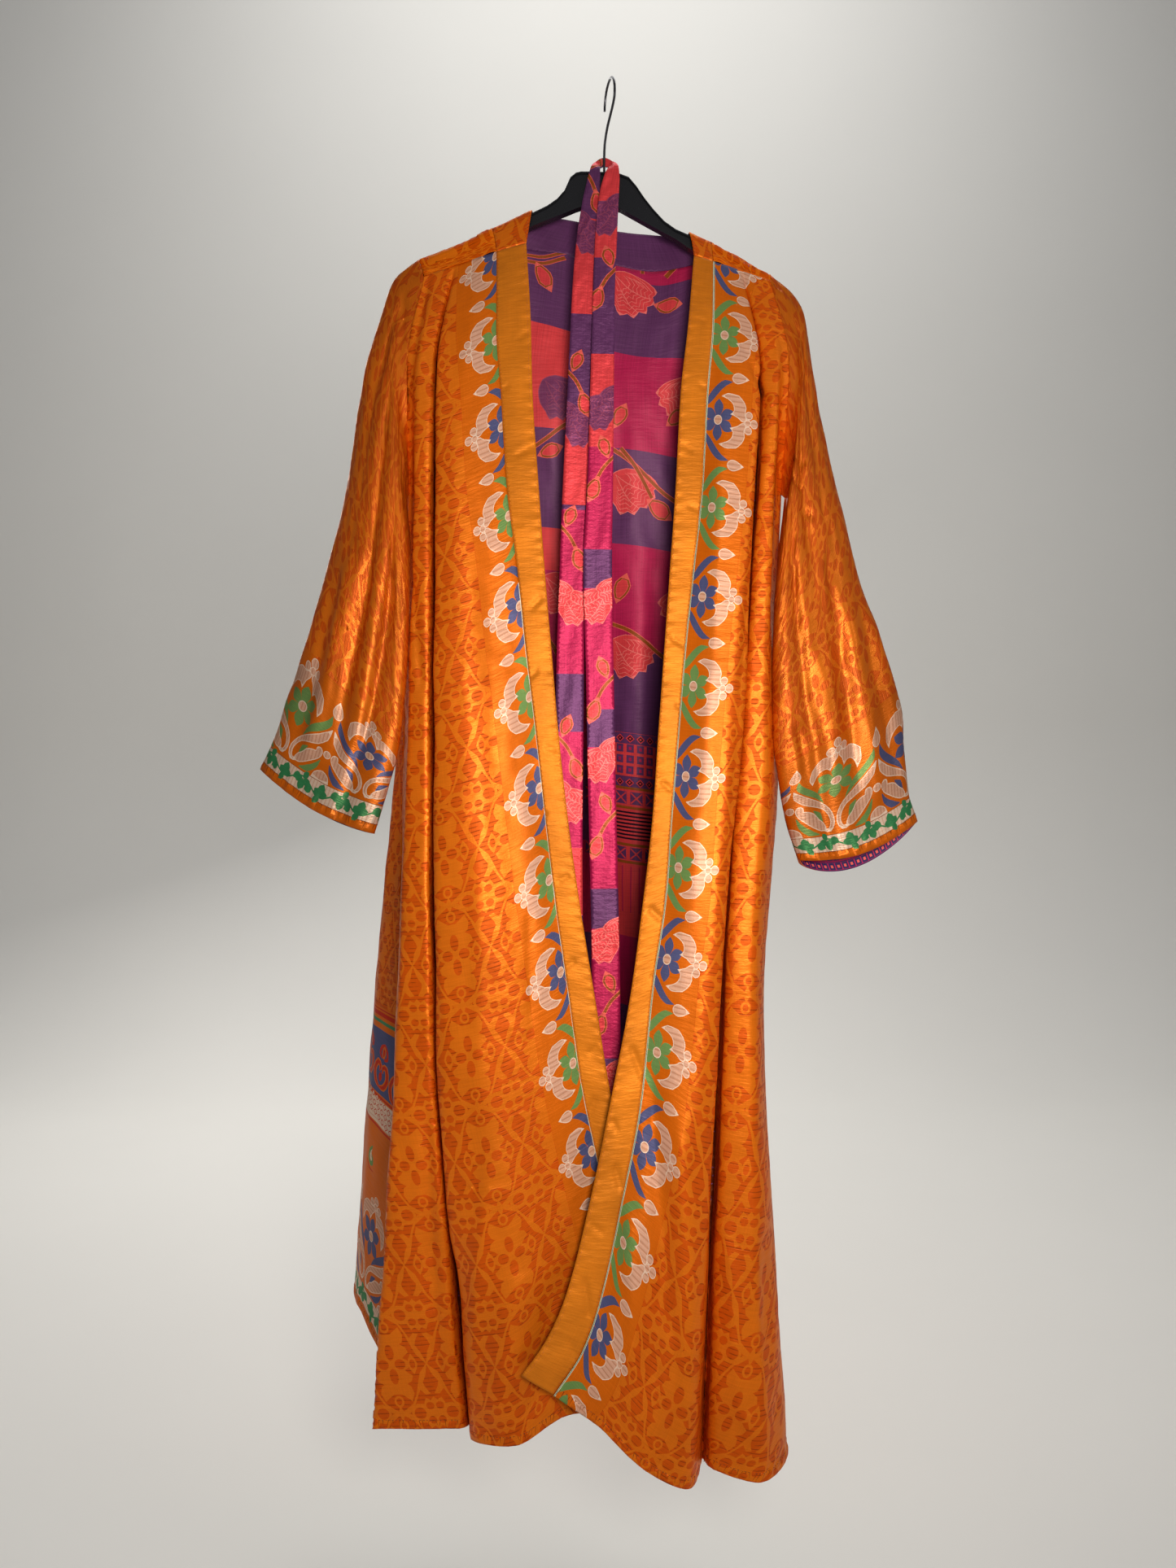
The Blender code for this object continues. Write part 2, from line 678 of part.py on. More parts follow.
def make_hanger_body():
    bm = bmesh.new()
    rings = []
    for x, top, bottom in HANGER:
        section = hanger_section(x * MM, top * MM, bottom * MM)
        rings.append([bm.verts.new(point) for point in section])
    for ring, after in zip(rings, rings[1:]):
        for k in range(len(ring)):
            m = (k + 1) % len(ring)
            bm.faces.new((ring[k], ring[m], after[m], after[k]))
    bm.faces.new(rings[0])
    bm.faces.new(rings[-1])
    bmesh.ops.recalc_face_normals(bm, faces=bm.faces)
    mesh = bpy.data.meshes.new("hanger_body")
    bm.to_mesh(mesh)
    bm.free()
    add_piece("hanger_body", mesh, BLACK_PLASTIC)


def hook_points():
    """Wire centre line: the shank, the swing out to the front, and the round hook over the rail."""
    middle = Vector((HOOK_MIDDLE_X, 0, WIRE_RADIUS - HOOK_RADIUS))
    across = Vector((-sin(HOOK_TURN), cos(HOOK_TURN), 0.0))
    points = [Vector(p) * MM for p in SHANK_PATH]
    for step in range(HOOK_STEPS + 1):
        turn = HOOK_START + (HOOK_END - HOOK_START) * step / HOOK_STEPS
        points.append(middle + HOOK_RADIUS * (across * sin(turn) + Vector((0, 0, cos(turn)))))
    return points


def make_hook():
    curve = bpy.data.curves.new("hanger_hook", "CURVE")
    curve.dimensions = "3D"
    curve.bevel_depth = WIRE_RADIUS
    curve.bevel_resolution = 2
    curve.use_fill_caps = True
    points = hook_points()
    steps = (len(points) - 1) * 2
    path = [points_through(points, i / 2) for i in range(steps + 1)]
    spline = curve.splines.new("POLY")
    spline.points.add(len(path) - 1)
    for target, point in zip(spline.points, path):
        target.co = (*point, 1.0)
    add_piece("hanger_hook", curve, STEEL)


for leftover in list(bpy.data.objects):
    bpy.data.objects.remove(leftover)
ROBE = bpy.data.collections.new("kimono_robe")
bpy.context.scene.collection.children.link(ROBE)

make_back()
make_back_lining()
make_front("front_right", RIGHT_FRONT, RIGHT_EDGE)
make_front("front_left", LEFT_FRONT, LEFT_EDGE)
make_band("band_right", RIGHT_EDGE)
make_band("band_left", LEFT_EDGE)
make_neck_band()
make_sleeve("right", RIGHT_SLEEVE)
make_sleeve("left", LEFT_SLEEVE)
make_belt()
make_hanger_body()
make_hook()
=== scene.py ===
from math import cos, pi, radians, sin

import bmesh
import bpy
import numpy as np
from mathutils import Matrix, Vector
from mathutils.bvhtree import BVHTree
from mathutils.geometry import delaunay_2d_cdt
from mathutils.kdtree import KDTree


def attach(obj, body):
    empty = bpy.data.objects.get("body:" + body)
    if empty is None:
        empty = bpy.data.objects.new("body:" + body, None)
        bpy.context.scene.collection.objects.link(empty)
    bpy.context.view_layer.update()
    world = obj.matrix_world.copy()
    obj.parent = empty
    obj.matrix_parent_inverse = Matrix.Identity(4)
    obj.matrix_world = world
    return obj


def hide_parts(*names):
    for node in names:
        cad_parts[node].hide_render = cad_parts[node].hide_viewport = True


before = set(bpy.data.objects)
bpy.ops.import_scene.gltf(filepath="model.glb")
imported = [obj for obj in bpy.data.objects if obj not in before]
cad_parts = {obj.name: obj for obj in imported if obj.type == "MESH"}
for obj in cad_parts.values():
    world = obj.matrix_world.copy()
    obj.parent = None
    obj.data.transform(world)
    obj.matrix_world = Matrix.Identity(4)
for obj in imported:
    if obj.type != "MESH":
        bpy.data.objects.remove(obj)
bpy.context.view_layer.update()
mm = 0.001

# Cloth walls, as in the solids: outer cloth and lining lie on either side of one shared surface
cloth = {
    "wall": 1.1, "layerGap": 0.3, "seamGap": 0.3,
    # meshing: spacing of loose points, and how near two points are one; sizes in mm
    "spacing": 4.2, "quickSpacing": 7.5, "innerStep": 0.9, "merge": 0.04, "seamClear": 0.4,
}

# Heights that every panel shares (m), and the share of a panel's length at which each falls
armZ, underarmZ, kneeZ = -0.310, -0.430, -0.930
armV, underarmV, kneeV = 0.12, 0.22, 0.62
sharedKnots = (0.0, armV, underarmV, kneeV, 1.0)

# The seam where the back, brought over the shoulder, meets the fronts
fore = {"y": -11, "slope": 0.335, "right": (-118, -183), "left": (106, -193)}

# Shoulder line on top of the hanger: x, height (mm)
shoulderLine = (
    (-224, -208), (-208, -192), (-174, -179), (-123, -156), (-81, -136.5),
    (81, -159.5), (127, -183), (153, -197), (178, -212), (189, -223),
)

# Front edge and band seam: seam height, seam x, edge height, edge x, depth y (mm)
rightEdge = (
    (-183, -118, -174, -87, -11), (-262, -118, -258, -82, -20), (-332, -113, -330, -80, -28),
    (-434, -106, -434, -73, -36), (-517, -95, -517, -67, -40), (-600, -86, -600, -60, -43),
    (-682, -76, -682, -53, -45), (-780, -65, -780, -42, -48), (-862, -55, -864, -30, -50),
    (-952, -42, -956, -15, -50), (-1036, -30, -1042, -1, -48), (-1113, -14, -1120, 17, -45),
    (-1216, 9, -1224, 40, -43), (-1372, 34, -1378, 65, -40),
)
leftEdge = (
    (-193, 106, -187, 86, -11), (-264, 104, -264, 79, -24), (-333, 98, -333, 71, -32),
    (-435, 92, -435, 65, -40), (-518, 83, -518, 59, -44), (-600, 74, -600, 53, -48),
    (-682, 67, -682, 47, -52), (-764, 60, -766, 41, -56), (-845, 54, -853, 31, -60),
    (-933, 41, -941, 19, -64), (-1053, 28, -1056, -3, -70), (-1140, 11, -1142, -21, -74),
    (-1243, -12, -1235, -45, -78), (-1290, -29, -1278, -64, -80), (-1332, -57, -1313, -89, -82),
)

# Lines down a front: name, x and depth y at top, arm, underarm, knee and hem, hem height (mm)
rightFront = (
    ("border", (-129, -132, -131, -78, -38), (-11, -30, -42, -62, -52), -1365),
    ("panel", (-142, -152, -155, -122, -94), (-11, -33, -45, -70, -66), -1389),
    ("ridge", (-157, -176, -177, -176, -140), (-11, -32, -40, -60, -42), -1396),
    ("pleat", (-162, -179, -180, -179, -145), (-11, -10, -10, -20, 0), -1400),
    ("roll_in", (-167, -183, -184, -184, -153), (-11, -26, -30, -44, -30), -1391),
    ("roll_out", (-178, -196, -200, -214, -244), (-11, -26, -27, -34, -22), -1396),
    ("tuck", (-186, -204, -203, -221, -240), (-11, -20, -10, 12, 30), -1412),
    ("side", (-193, -210, -211, -227, -246), (-11, -17, 0, 50, 68), -1368),
)
leftFront = (
    ("border", (115, 118, 113, 75, -14), (-11, -33, -50, -75, -90), -1358),
    ("panel", (124, 135, 131, 93, 34), (-11, -35, -50, -77, -97), -1399),
    ("ridge", (133, 151, 146, 110, 75), (-11, -32, -45, -68, -88), -1420),
    ("pleat", (137, 153, 148, 112, 93), (-11, -8, -10, -18, -28), -1421),
    ("roll_in", (141, 156, 151, 115, 98), (-11, -23, -32, -51, -62), -1413),
    ("roll_out", (151, 169, 164, 139, 145), (-11, -26, -34, -56, -74), -1422),
    ("tuck", (158, 177, 171, 156, 179), (-11, -20, -10, -16, -26), -1417),
    ("side", (165, 184, 178, 158, 178), (-11, -17, 0, 40, 50), -1419),
)

# Lines down the back: name, x and y at arm, underarm, knee and hem, hem height (mm)
backLines = (
    ("right_side", (-210, -211, -227, -246), (11, 0, 50, 68), -1368),
    ("right_turn", (-199, -203, -258, -290), (17, 18, 102, 146), -1338),
    ("right_strip", (-187, -190, -264, -301), (24, 34, 136, 188), -1338),
    ("right_roll", (-172, -172, -228, -264), (29, 46, 152, 222), -1346),
    ("right_valley", (-148, -145, -182, -202), (30, 45, 124, 168), -1358),
    ("right_crest", (-112, -108, -132, -146), (35, 56, 152, 212), -1356),
    ("near_valley", (-64, -62, -76, -86), (33, 49, 128, 176), -1365),
    ("centre", (-14, -12, -18, -22), (38, 58, 158, 212), -1361),
    ("far_valley", (36, 35, 31, 28), (34, 49, 124, 172), -1369),
    ("left_crest", (82, 79, 73, 76), (35, 54, 144, 190), -1373),
    ("left_valley", (118, 113, 106, 113), (30, 42, 110, 142), -1385),
    ("left_roll", (148, 144, 140, 155), (25, 36, 106, 140), -1393),
    ("left_turn", (171, 168, 163, 181), (17, 18, 72, 96), -1406),
    ("left_side", (184, 178, 158, 178), (11, 0, 40, 50), -1419),
)

# Shoulder stretch of the back: x at the fore seam, x at the ridge, then x, y and height at the nape (mm)
backShoulder = {
    "right_side": (-193, -199, -202, 10, -205), "right_turn": (-181, -188, -192, 12, -202),
    "right_strip": (-168, -175, -180, 14, -196), "right_roll": (-152, -158, -163, 15, -188),
    "right_valley": (-135, -141, -144, 16, -180), "right_crest": (-118, -123, -110, 20, -165),
    "near_valley": (0, 0, -60, 36, -164), "centre": (0, 0, 0, 40, -175),
    "far_valley": (0, 0, 50, 37, -184), "left_crest": (106, 105, 96, 20, -183),
    "left_valley": (121, 121, 122, 16, -198), "left_roll": (136, 137, 140, 15, -208),
    "left_turn": (151, 152, 157, 13, -217), "left_side": (165, 166, 171, 10, -226),
}
# Rows over the shoulder: fore seam, brow, front crown, ridge, back crown, nape
shoulderRows = (0.0, 0.016, 0.026, 0.034, 0.042, 0.06)
ridgeV, napeV = 0.034, 0.06
brow = {"drop": 11, "y": 8}
crown = {"drop": 1.6, "y": 5.8}
neckFirst, neckLast = 5, 9  # the two crests that carry the ends of the neck, counted from the right side
backMiddle = 7  # the centre line, from which flat distances across the back are counted

# Free edge of the neck band, a point for each shoulder row, then round the nape: x, y, height (mm)
neckEdgeRight = (
    (-87, -11, -174), (-83, -8, -148), (-81.5, -5.8, -138.5),
    (-81, 0, -136.5), (-80, 6, -137), (-73, 20, -131),
)
neckEdgeBack = ((-52, 36, -127), (-25, 41, -130), (3, 42, -137), (30, 41, -141), (52, 36, -145))
neckEdgeLeft = (
    (86, -11, -187), (84, -8, -171), (81.5, -5.8, -161.5),
    (81, 0, -159.5), (79, 6, -160), (70, 20, -153),
)

# Sleeve outer line, shoulder to cuff: x, height; the inner line: x, y, height (mm)
rightSleeve = {
    "outer": ((-199, -190), (-224, -209), (-239, -251), (-252, -291), (-260, -332), (-267, -383),
              (-277, -442), (-290, -493), (-304, -544), (-319, -595), (-336, -646), (-351, -689),
              (-364, -719)),
    "inner": ((-211, 0, -430), (-212, -12, -442), (-207, -20, -500), (-207, -26, -560),
              (-209, -30, -620), (-212, -34, -660), (-216, -38, -697), (-226, -40, -735),
              (-241, -38, -784)),
    "bow": 9,
    "backDrop": 4,
}
leftSleeve = {
    "outer": ((166, -206), (189, -224), (200, -243), (205, -272), (213, -323), (226, -391),
              (243, -459), (260, -527), (277, -570), (290, -612), (302, -655), (307, -714),
              (310, -744), (319, -773)),
    "inner": ((178, 0, -430), (183, -10, -441), (173, -24, -500), (168, -28, -560),
              (166, -30, -620), (166, -31, -680), (171, -29, -722), (180, -24, -770),
              (194, -21, -812)),
    "bow": 13,
    "backDrop": 16,
}
sleeveDepth = (6, 14, 18, 20, 20, 19, 17, 15)
# Long folds in a sleeve: share round the half tube, half width, depth (mm), first and last row share
sleeveFolds = (
    (0.20, 0.07, 4.0, 0.02, 0.45),
    (0.46, 0.08, 5.0, 0.10, 0.80),
    (0.72, 0.07, 5.0, 0.25, 1.00),
)
sleeveShape = {"flatness": 0.8, "headEase": 7, "foldRise": 0.15, "foldFade": 0.25, "liningFrom": 0.88}

# Belt, from the right end up behind the hook shank to the left end: x, y, height, half width (mm)
beltPath = (
    (-41, -11, -1100, 14), (-42, -11, -950, 14), (-43, -11, -800, 14), (-42, -11, -630, 14.5),
    (-40, -11, -512, 13), (-36, -10.5, -400, 12.5), (-33, -10.5, -330, 12), (-28, -10, -226, 12),
    (-25, -9, -175, 11), (-20, -7.4, -128, 9), (-17, -7.2, -104, 6.5), (-15.5, -5.6, -93, 5),
    (-11.5, 2.6, -85.5, 4.5), (-6.5, 2.7, -83, 4.5), (-1.5, 2.6, -85.5, 4.5), (3, -7.8, -94, 5.5),
    (1.5, -10.4, -104, 8), (-2, -10.6, -128, 10.5), (-5, -12, -175, 11.5), (-7, -14, -226, 11.5),
    (-9, -15, -330, 12.5), (-11, -15.5, -430, 13.5), (-13.5, -16, -512, 15), (-11, -16, -630, 14.5),
    (-9, -16, -740, 14.5), (-6.5, -16, -849, 14.5), (-4.5, -16, -950, 14.5), (-3.5, -16, -1060, 14),
    (-3, -16, -1150, 14),
)
beltWall = 1.6


def curveThrough(knots, values, at):
    # Smooth curve without overshoot; values has its knots on axis 1 and one row, or one for each place
    knots = np.asarray(knots, float)
    values = np.asarray(values, float)
    at = np.clip(np.asarray(at, float), knots[0], knots[-1])
    secants = np.diff(values, axis=1) / np.diff(knots)[None, :, None]
    before, after = secants[:, :-1], secants[:, 1:]
    level = before * after <= 0
    inner = np.where(level, 0.0, 2 * before * after / np.where(level, 1.0, before + after))
    slope = np.concatenate([secants[:, :1], inner, secants[:, -1:]], axis=1)
    i = np.clip(np.searchsorted(knots, at, side="left") - 1, 0, len(knots) - 2)
    span = (knots[i + 1] - knots[i])[:, None]
    t = (at - knots[i])[:, None] / span
    row = np.arange(len(at)) if len(values) > 1 else np.zeros(len(at), int)
    low = values[row, i] * (1 + 2 * t) * (1 - t) ** 2 + slope[row, i] * span * t * (1 - t) ** 2
    high = values[row, i + 1] * t * t * (3 - 2 * t) + slope[row, i + 1] * span * t * t * (t - 1)
    return low + high


def smooth(knots, values, at):
    return curveThrough(knots, np.asarray(values, float)[None, :, None], at)[:, 0]


def pointsThrough(points, at):
    return curveThrough(range(len(points)), np.asarray(points, float)[None], at)


def column(table, *wanted):
    rows = sorted(table)
    return [[row[i] * mm for row in rows] for i in wanted]


def foreZ(x):
    startX, startZ = fore["left"] if x > 0 else fore["right"]
    return startZ * mm - fore["slope"] * abs(x - startX * mm)


def seamLine(edge, v):
    heights, xs, ys = column(edge, 0, 1, 4)
    z = smooth(sharedKnots, (heights[-1], armZ, underarmZ, kneeZ, heights[0]), v)
    return np.stack([smooth(heights, xs, z), smooth(heights, ys, z), z], axis=1)


def freeLine(edge, v):
    heights, *wanted = column(edge, 0, 3, 4, 2)
    z = seamLine(edge, v)[:, 2]
    return np.stack([smooth(heights, values, z) for values in wanted], axis=1)


def downGuide(name, knots, points, v):
    # Below the underarm the side seam is one curve for the back and the fronts
    points = np.array(points)[None]
    line = curveThrough(knots, points, v)
    if name.endswith("side"):
        below = curveThrough(knots[-3:], points[:, -3:], v)
        line = np.where((v > underarmV)[:, None], below, line)
    return line


# The left side of the body swells out below the armhole: from x, over a width, by how much, at a height (mm)
swell = {"from": 120, "over": 50, "out": 15, "height": -755, "half": 125}


def swollen(points):
    share = np.clip((points[:, 0] / mm - swell["from"]) / swell["over"], 0, 1)
    rise = np.exp(-((points[:, 2] / mm - swell["height"]) / swell["half"]) ** 2)
    points[:, 0] += swell["out"] * mm * share * rise
    return points


def frontSurface(table, edge):
    def place(at, v):
        guides = [seamLine(edge, v)]
        for name, xs, ys, hem in table:
            heights = (foreZ(xs[0] * mm), armZ, underarmZ, kneeZ, hem * mm)
            points = [(x * mm, y * mm, z) for x, y, z in zip(xs, ys, heights)]
            guides.append(downGuide(name, sharedKnots, points, v))
        return swollen(curveThrough(range(len(guides)), np.stack(guides, axis=1), at))
    return place


def backGuide(row, v):
    name, xs, ys, hem = row
    foreX, ridgeX, napeX, napeY, napeZ = [value * mm for value in backShoulder[name]]
    ridgeZ = float(smooth(*column(shoulderLine, 0, 1), [ridgeX])[0])
    shoulder = [
        (foreX, fore["y"] * mm, foreZ(foreX)),
        ((foreX + ridgeX) / 2, -brow["y"] * mm, ridgeZ - brow["drop"] * mm),
        (ridgeX, -crown["y"] * mm, ridgeZ - crown["drop"] * mm),
        (ridgeX, 0.0, ridgeZ),
        (ridgeX, crown["y"] * mm, ridgeZ - crown["drop"] * mm),
        (napeX, napeY, napeZ),
    ]
    below = [(x * mm, y * mm, z) for x, y, z in zip(xs, ys, (armZ, underarmZ, kneeZ, hem * mm))]
    return downGuide(name, shoulderRows + (armV, underarmV, kneeV, 1.0), shoulder + below, v)


def backSurface(at, v):
    guides = np.stack([backGuide(row, v) for row in backLines], axis=1)
    return swollen(curveThrough(range(len(backLines)), guides, at))


def bandSurface(edge):
    def place(at, v):
        free, seam = freeLine(edge, v), seamLine(edge, v)
        return free + (seam - free) * at[:, None]
    return place


def neckSurface():
    # Across from the free edge to the seam, along from the right front round the nape to the left front
    stops = np.array(shoulderRows)
    right = backSurface(np.full(len(stops), float(neckFirst)), stops)
    left = backSurface(np.full(len(stops), float(neckLast)), stops[::-1])
    behindAt = np.arange(neckFirst * 3 + 1, neckLast * 3) / 3
    seam = np.concatenate([right, backSurface(behindAt, np.full(len(behindAt), napeV)), left])
    nape = np.array(neckEdgeRight[-1:] + neckEdgeBack + tuple(reversed(neckEdgeLeft))[:1]) * mm
    round_ = pointsThrough(nape, (len(nape) - 1) * np.arange(1, len(behindAt) + 1) / (len(behindAt) + 1))
    edge = np.concatenate([np.array(neckEdgeRight) * mm, round_, np.array(neckEdgeLeft[::-1]) * mm])

    def place(at, along):
        k = along * (len(seam) - 1)
        free = pointsThrough(edge, k)
        return free + (pointsThrough(seam, k) - free) * at[:, None]
    return place


def armhole(side):
    # From the shoulder ridge down the front, then down the back, as two broken lines
    table, edge, at = rightFront, rightEdge, 0.0
    if side == "left":
        table, edge, at = leftFront, leftEdge, len(backLines) - 1.0
    over, down = np.linspace(ridgeV, 0, 12), np.linspace(0.002, underarmV, 60)
    behind = np.linspace(ridgeV, underarmV, 60)
    front = np.concatenate([
        backSurface(np.full(len(over), at), over),
        frontSurface(table, edge)(np.full(len(down), float(len(table))), down),
    ])
    return front, backSurface(np.full(len(behind), at), behind)


def alongLine(points, share):
    lengths = np.concatenate([[0], np.cumsum(np.linalg.norm(np.diff(points, axis=0), axis=1))])
    return np.stack([np.interp(share * lengths[-1], lengths, points[:, i]) for i in range(3)], axis=1)


def sleeveFrame(table, s, v):
    outer = np.array([(x, 0, z) for x, z in table["outer"]]) * mm
    inner = np.array(table["inner"]) * mm
    top = pointsThrough(outer, v * (len(outer) - 1))
    low = pointsThrough(inner, v * (len(inner) - 1))
    front = s <= 0.5
    t = np.where(front, 2 * s, 2 * (1 - s))
    share = (1 - np.cos(pi * t)) / 2
    bulge = np.clip(np.sin(pi * t), 0, 1)
    depth = smooth(np.linspace(0, 1, len(sleeveDepth)), sleeveDepth, v) * mm
    depth *= bulge ** sleeveShape["flatness"]
    fold = np.zeros(len(s))
    for centre, half, size, begin, end in sleeveFolds:
        rise = np.clip((v - begin) / sleeveShape["foldRise"], 0, 1)
        fade = 1.0 if end == 1.0 else np.clip((end - v) / sleeveShape["foldFade"], 0, 1)
        fold += size * mm * rise * fade * np.exp(-((share - centre) / half) ** 2)
    point = top + (low - top) * share[:, None]
    point[:, 1] += np.where(front, fold - depth, depth)
    point[:, 2] -= np.where(front, 0.0, table["backDrop"] * mm * bulge * v ** 4)
    point[:, 2] -= table["bow"] * mm * np.sin(pi * share) * v ** 3
    return point


def sleeveSurface(side, table):
    # Across from the underarm seam round the back, over the outer fold and round the front to the seam
    front, behind = armhole(side)

    def place(at, v):
        s = np.mod(at, 1.0)
        t = np.where(s <= 0.5, 2 * s, 2 * (1 - s))
        share = (1 - np.cos(pi * t)) / 2
        seam = np.where((s <= 0.5)[:, None], alongLine(front, share), alongLine(behind, share))
        ease = ((1 - v) ** sleeveShape["headEase"])[:, None]
        return sleeveFrame(table, s, v) + (seam - sleeveFrame(table, s, np.zeros(len(s)))) * ease
    return place


def beltSurface(at, along):
    points = np.array([p[:3] for p in beltPath]) * mm
    halves = [p[3] * mm for p in beltPath]
    k = along * (len(points) - 1)
    here = pointsThrough(points, k)
    ahead = pointsThrough(points, k + 0.1) - pointsThrough(points, k - 0.1)
    across = np.stack([ahead[:, 2], np.zeros(len(k)), -ahead[:, 0]], axis=1)
    across /= np.linalg.norm(across, axis=1)[:, None]
    half = smooth(range(len(halves)), halves, k)
    return here + across * (half * (2 * at - 1))[:, None]


# Flat layout of a panel: u is the real distance across from its middle line, w the one down it

def layOut(surface, acrossEnds, downEnds, middle, columns=161, rows=241):
    ats, vs = np.linspace(*acrossEnds, columns), np.linspace(*downEnds, rows)
    grid = surface(np.tile(ats, rows), np.repeat(vs, columns)).reshape(rows, columns, 3)
    steps = np.linalg.norm(np.diff(grid, axis=1), axis=2)
    across = np.concatenate([np.zeros((rows, 1)), np.cumsum(steps, axis=1)], axis=1)
    across -= np.array([np.interp(middle, ats, row) for row in across])[:, None]
    spine = surface(np.full(rows, float(middle)), vs)
    down = np.concatenate([[0], np.cumsum(np.linalg.norm(np.diff(spine, axis=0), axis=1))])
    shares = np.linspace(0, 1, columns)
    inverse = np.array([np.interp(row[0] + shares * (row[-1] - row[0]), row, ats) for row in across])
    right, below = np.diff(grid, axis=1)[:-1], np.diff(grid, axis=0)[:, :-1]
    cells = np.linalg.norm(np.cross(right, below), axis=2)
    widths = across[:, -1] - across[:, 0]
    return {
        "surface": surface, "ats": ats, "vs": vs, "grid": grid, "across": across, "inverse": inverse,
        "down": down, "left": across[:, 0], "right": across[:, -1], "width": float(np.mean(widths)),
        "widest": float(np.max(widths)), "length": float(down[-1]), "area": float(cells.sum()),
    }


def endsAt(layout, w):
    return np.interp(w, layout["down"], layout["left"]), np.interp(w, layout["down"], layout["right"])


def toFlat(layout, u, w):
    # From real distances to the rectangle in which a panel is cut
    left, right = endsAt(layout, w)
    return (u - left) / (right - left) * layout["width"]


def toSurface(layout, x, w):
    # From the cutting rectangle to the surface's own two numbers
    share = np.clip(x / layout["width"], 0, 1) * (len(layout["ats"]) - 1)
    row = np.interp(w, layout["down"], np.arange(len(layout["vs"])))
    i = np.clip(share.astype(int), 0, len(layout["ats"]) - 2)
    j = np.clip(row.astype(int), 0, len(layout["vs"]) - 2)
    a, b = share - i, row - j
    table = layout["inverse"]
    at = ((table[j, i] * (1 - a) + table[j, i + 1] * a) * (1 - b)
          + (table[j + 1, i] * (1 - a) + table[j + 1, i + 1] * a) * b)
    return at, np.interp(w, layout["down"], layout["vs"])


def interpOut(x, xs, ys):
    # Straight lines between the points, and on past both ends
    i = np.clip(np.searchsorted(xs, x) - 1, 0, len(xs) - 2)
    return ys[i] + (ys[i + 1] - ys[i]) * (x - xs[i]) / (xs[i + 1] - xs[i])


def seenAt(layout, points):
    # Flat place (m) of points given as x and height (mm) in the front view
    found = []
    spine = layout["grid"][:, np.argmin(np.abs(layout["across"][0])), 2]
    for x, z in points:
        w = interpOut(-z * mm, -spine, layout["down"])
        j = int(np.clip(np.searchsorted(layout["down"], w), 0, len(spine) - 1))
        found.append((interpOut(x * mm, layout["grid"][j, :, 0], layout["across"][j]), w))
    return np.array(found)


# Outlines, in mm, as given points that a smooth line joins; a third value of 1 keeps a corner

def placed(points, x=0.0, y=0.0, flipX=1, flipY=1):
    # The same points carried to x and y, mirrored where a flip is -1, with their corner marks
    return [(x + flipX * p[0], y + flipY * p[1]) + tuple(p[2:]) for p in points]


def mirrored(half, both=True):
    # A closed outline from its right half, listed from the top down; both also mirrors it up and down
    if both:
        half = half + [(p[0], -p[1]) + tuple(p[2:]) for p in reversed(half) if p[1]]
    return half + [(-p[0], p[1]) + tuple(p[2:]) for p in reversed(half) if p[0]]


def rotated(points, angle):
    c, s = cos(angle), sin(angle)
    return points @ np.array([[c, s], [-s, c]])


def roundOff(points, steps=3):
    line = []
    for i in range(len(points)):
        p0, p1, p2, p3 = [np.array(points[(i + k) % len(points)][:2], float) for k in (-1, 0, 1, 2)]
        sharp1, sharp2 = len(points[i]) > 2, len(points[(i + 1) % len(points)]) > 2
        m1 = p2 - p1 if sharp1 else (p2 - p0) / 2
        m2 = p2 - p1 if sharp2 else (p3 - p1) / 2
        for k in range(steps):
            t = k / steps
            line.append((1 + 2 * t) * (1 - t) ** 2 * p1 + t * (1 - t) ** 2 * m1
                        + t * t * (3 - 2 * t) * p2 + t * t * (t - 1) * m2)
    return np.array(line)


def stroke(points, halfWidths, steps=3):
    points = np.array(points, float)
    k = np.linspace(0, len(points) - 1, (len(points) - 1) * steps + 1)
    padded = np.concatenate([[2 * points[0] - points[1]], points, [2 * points[-1] - points[-2]]])
    i = np.minimum(k.astype(int), len(points) - 2)
    t = (k - i)[:, None]
    p0, p1, p2, p3 = padded[i], padded[i + 1], padded[i + 2], padded[i + 3]
    line = 0.5 * (2 * p1 + (p2 - p0) * t + (2 * p0 - 5 * p1 + 4 * p2 - p3) * t ** 2
                  + (3 * p1 - p0 - 3 * p2 + p3) * t ** 3)
    ahead = np.gradient(line, axis=0)
    ahead /= np.linalg.norm(ahead, axis=1)[:, None] + 1e-9
    aside = np.stack([-ahead[:, 1], ahead[:, 0]], axis=1)
    half = np.interp(k, np.arange(len(points)), halfWidths)[:, None]
    return np.concatenate([line + aside * half, (line - aside * half)[::-1]])


def oval(x, y, halfX, halfY, count=14):
    around = 2 * pi * np.arange(count) / count
    return np.stack([halfX * np.cos(around), halfY * np.sin(around)], axis=1) + (x, y)


def box(low, high):
    (x0, y0), (x1, y1) = low, high
    return np.array([(x0, y0), (x1, y0), (x1, y1), (x0, y1)], float)


def lozenge(x, y, half):
    return np.array([(x - half, y), (x, y - half), (x + half, y), (x, y + half)], float)


def splitEdges(polygon, longest):
    # The same outline with points added along its long sides, so that it can follow a curved surface
    following = np.roll(polygon, -1, axis=0)
    line = []
    for p, q in zip(polygon, following):
        count = max(1, int(np.ceil(np.hypot(*(q - p)) / longest)))
        line += [p + (q - p) * k / count for k in range(count)]
    return np.array(line)


def area(polygon):
    x, y = polygon[:, 0], polygon[:, 1]
    return 0.5 * float(np.sum(x * np.roll(y, -1) - np.roll(x, -1) * y))


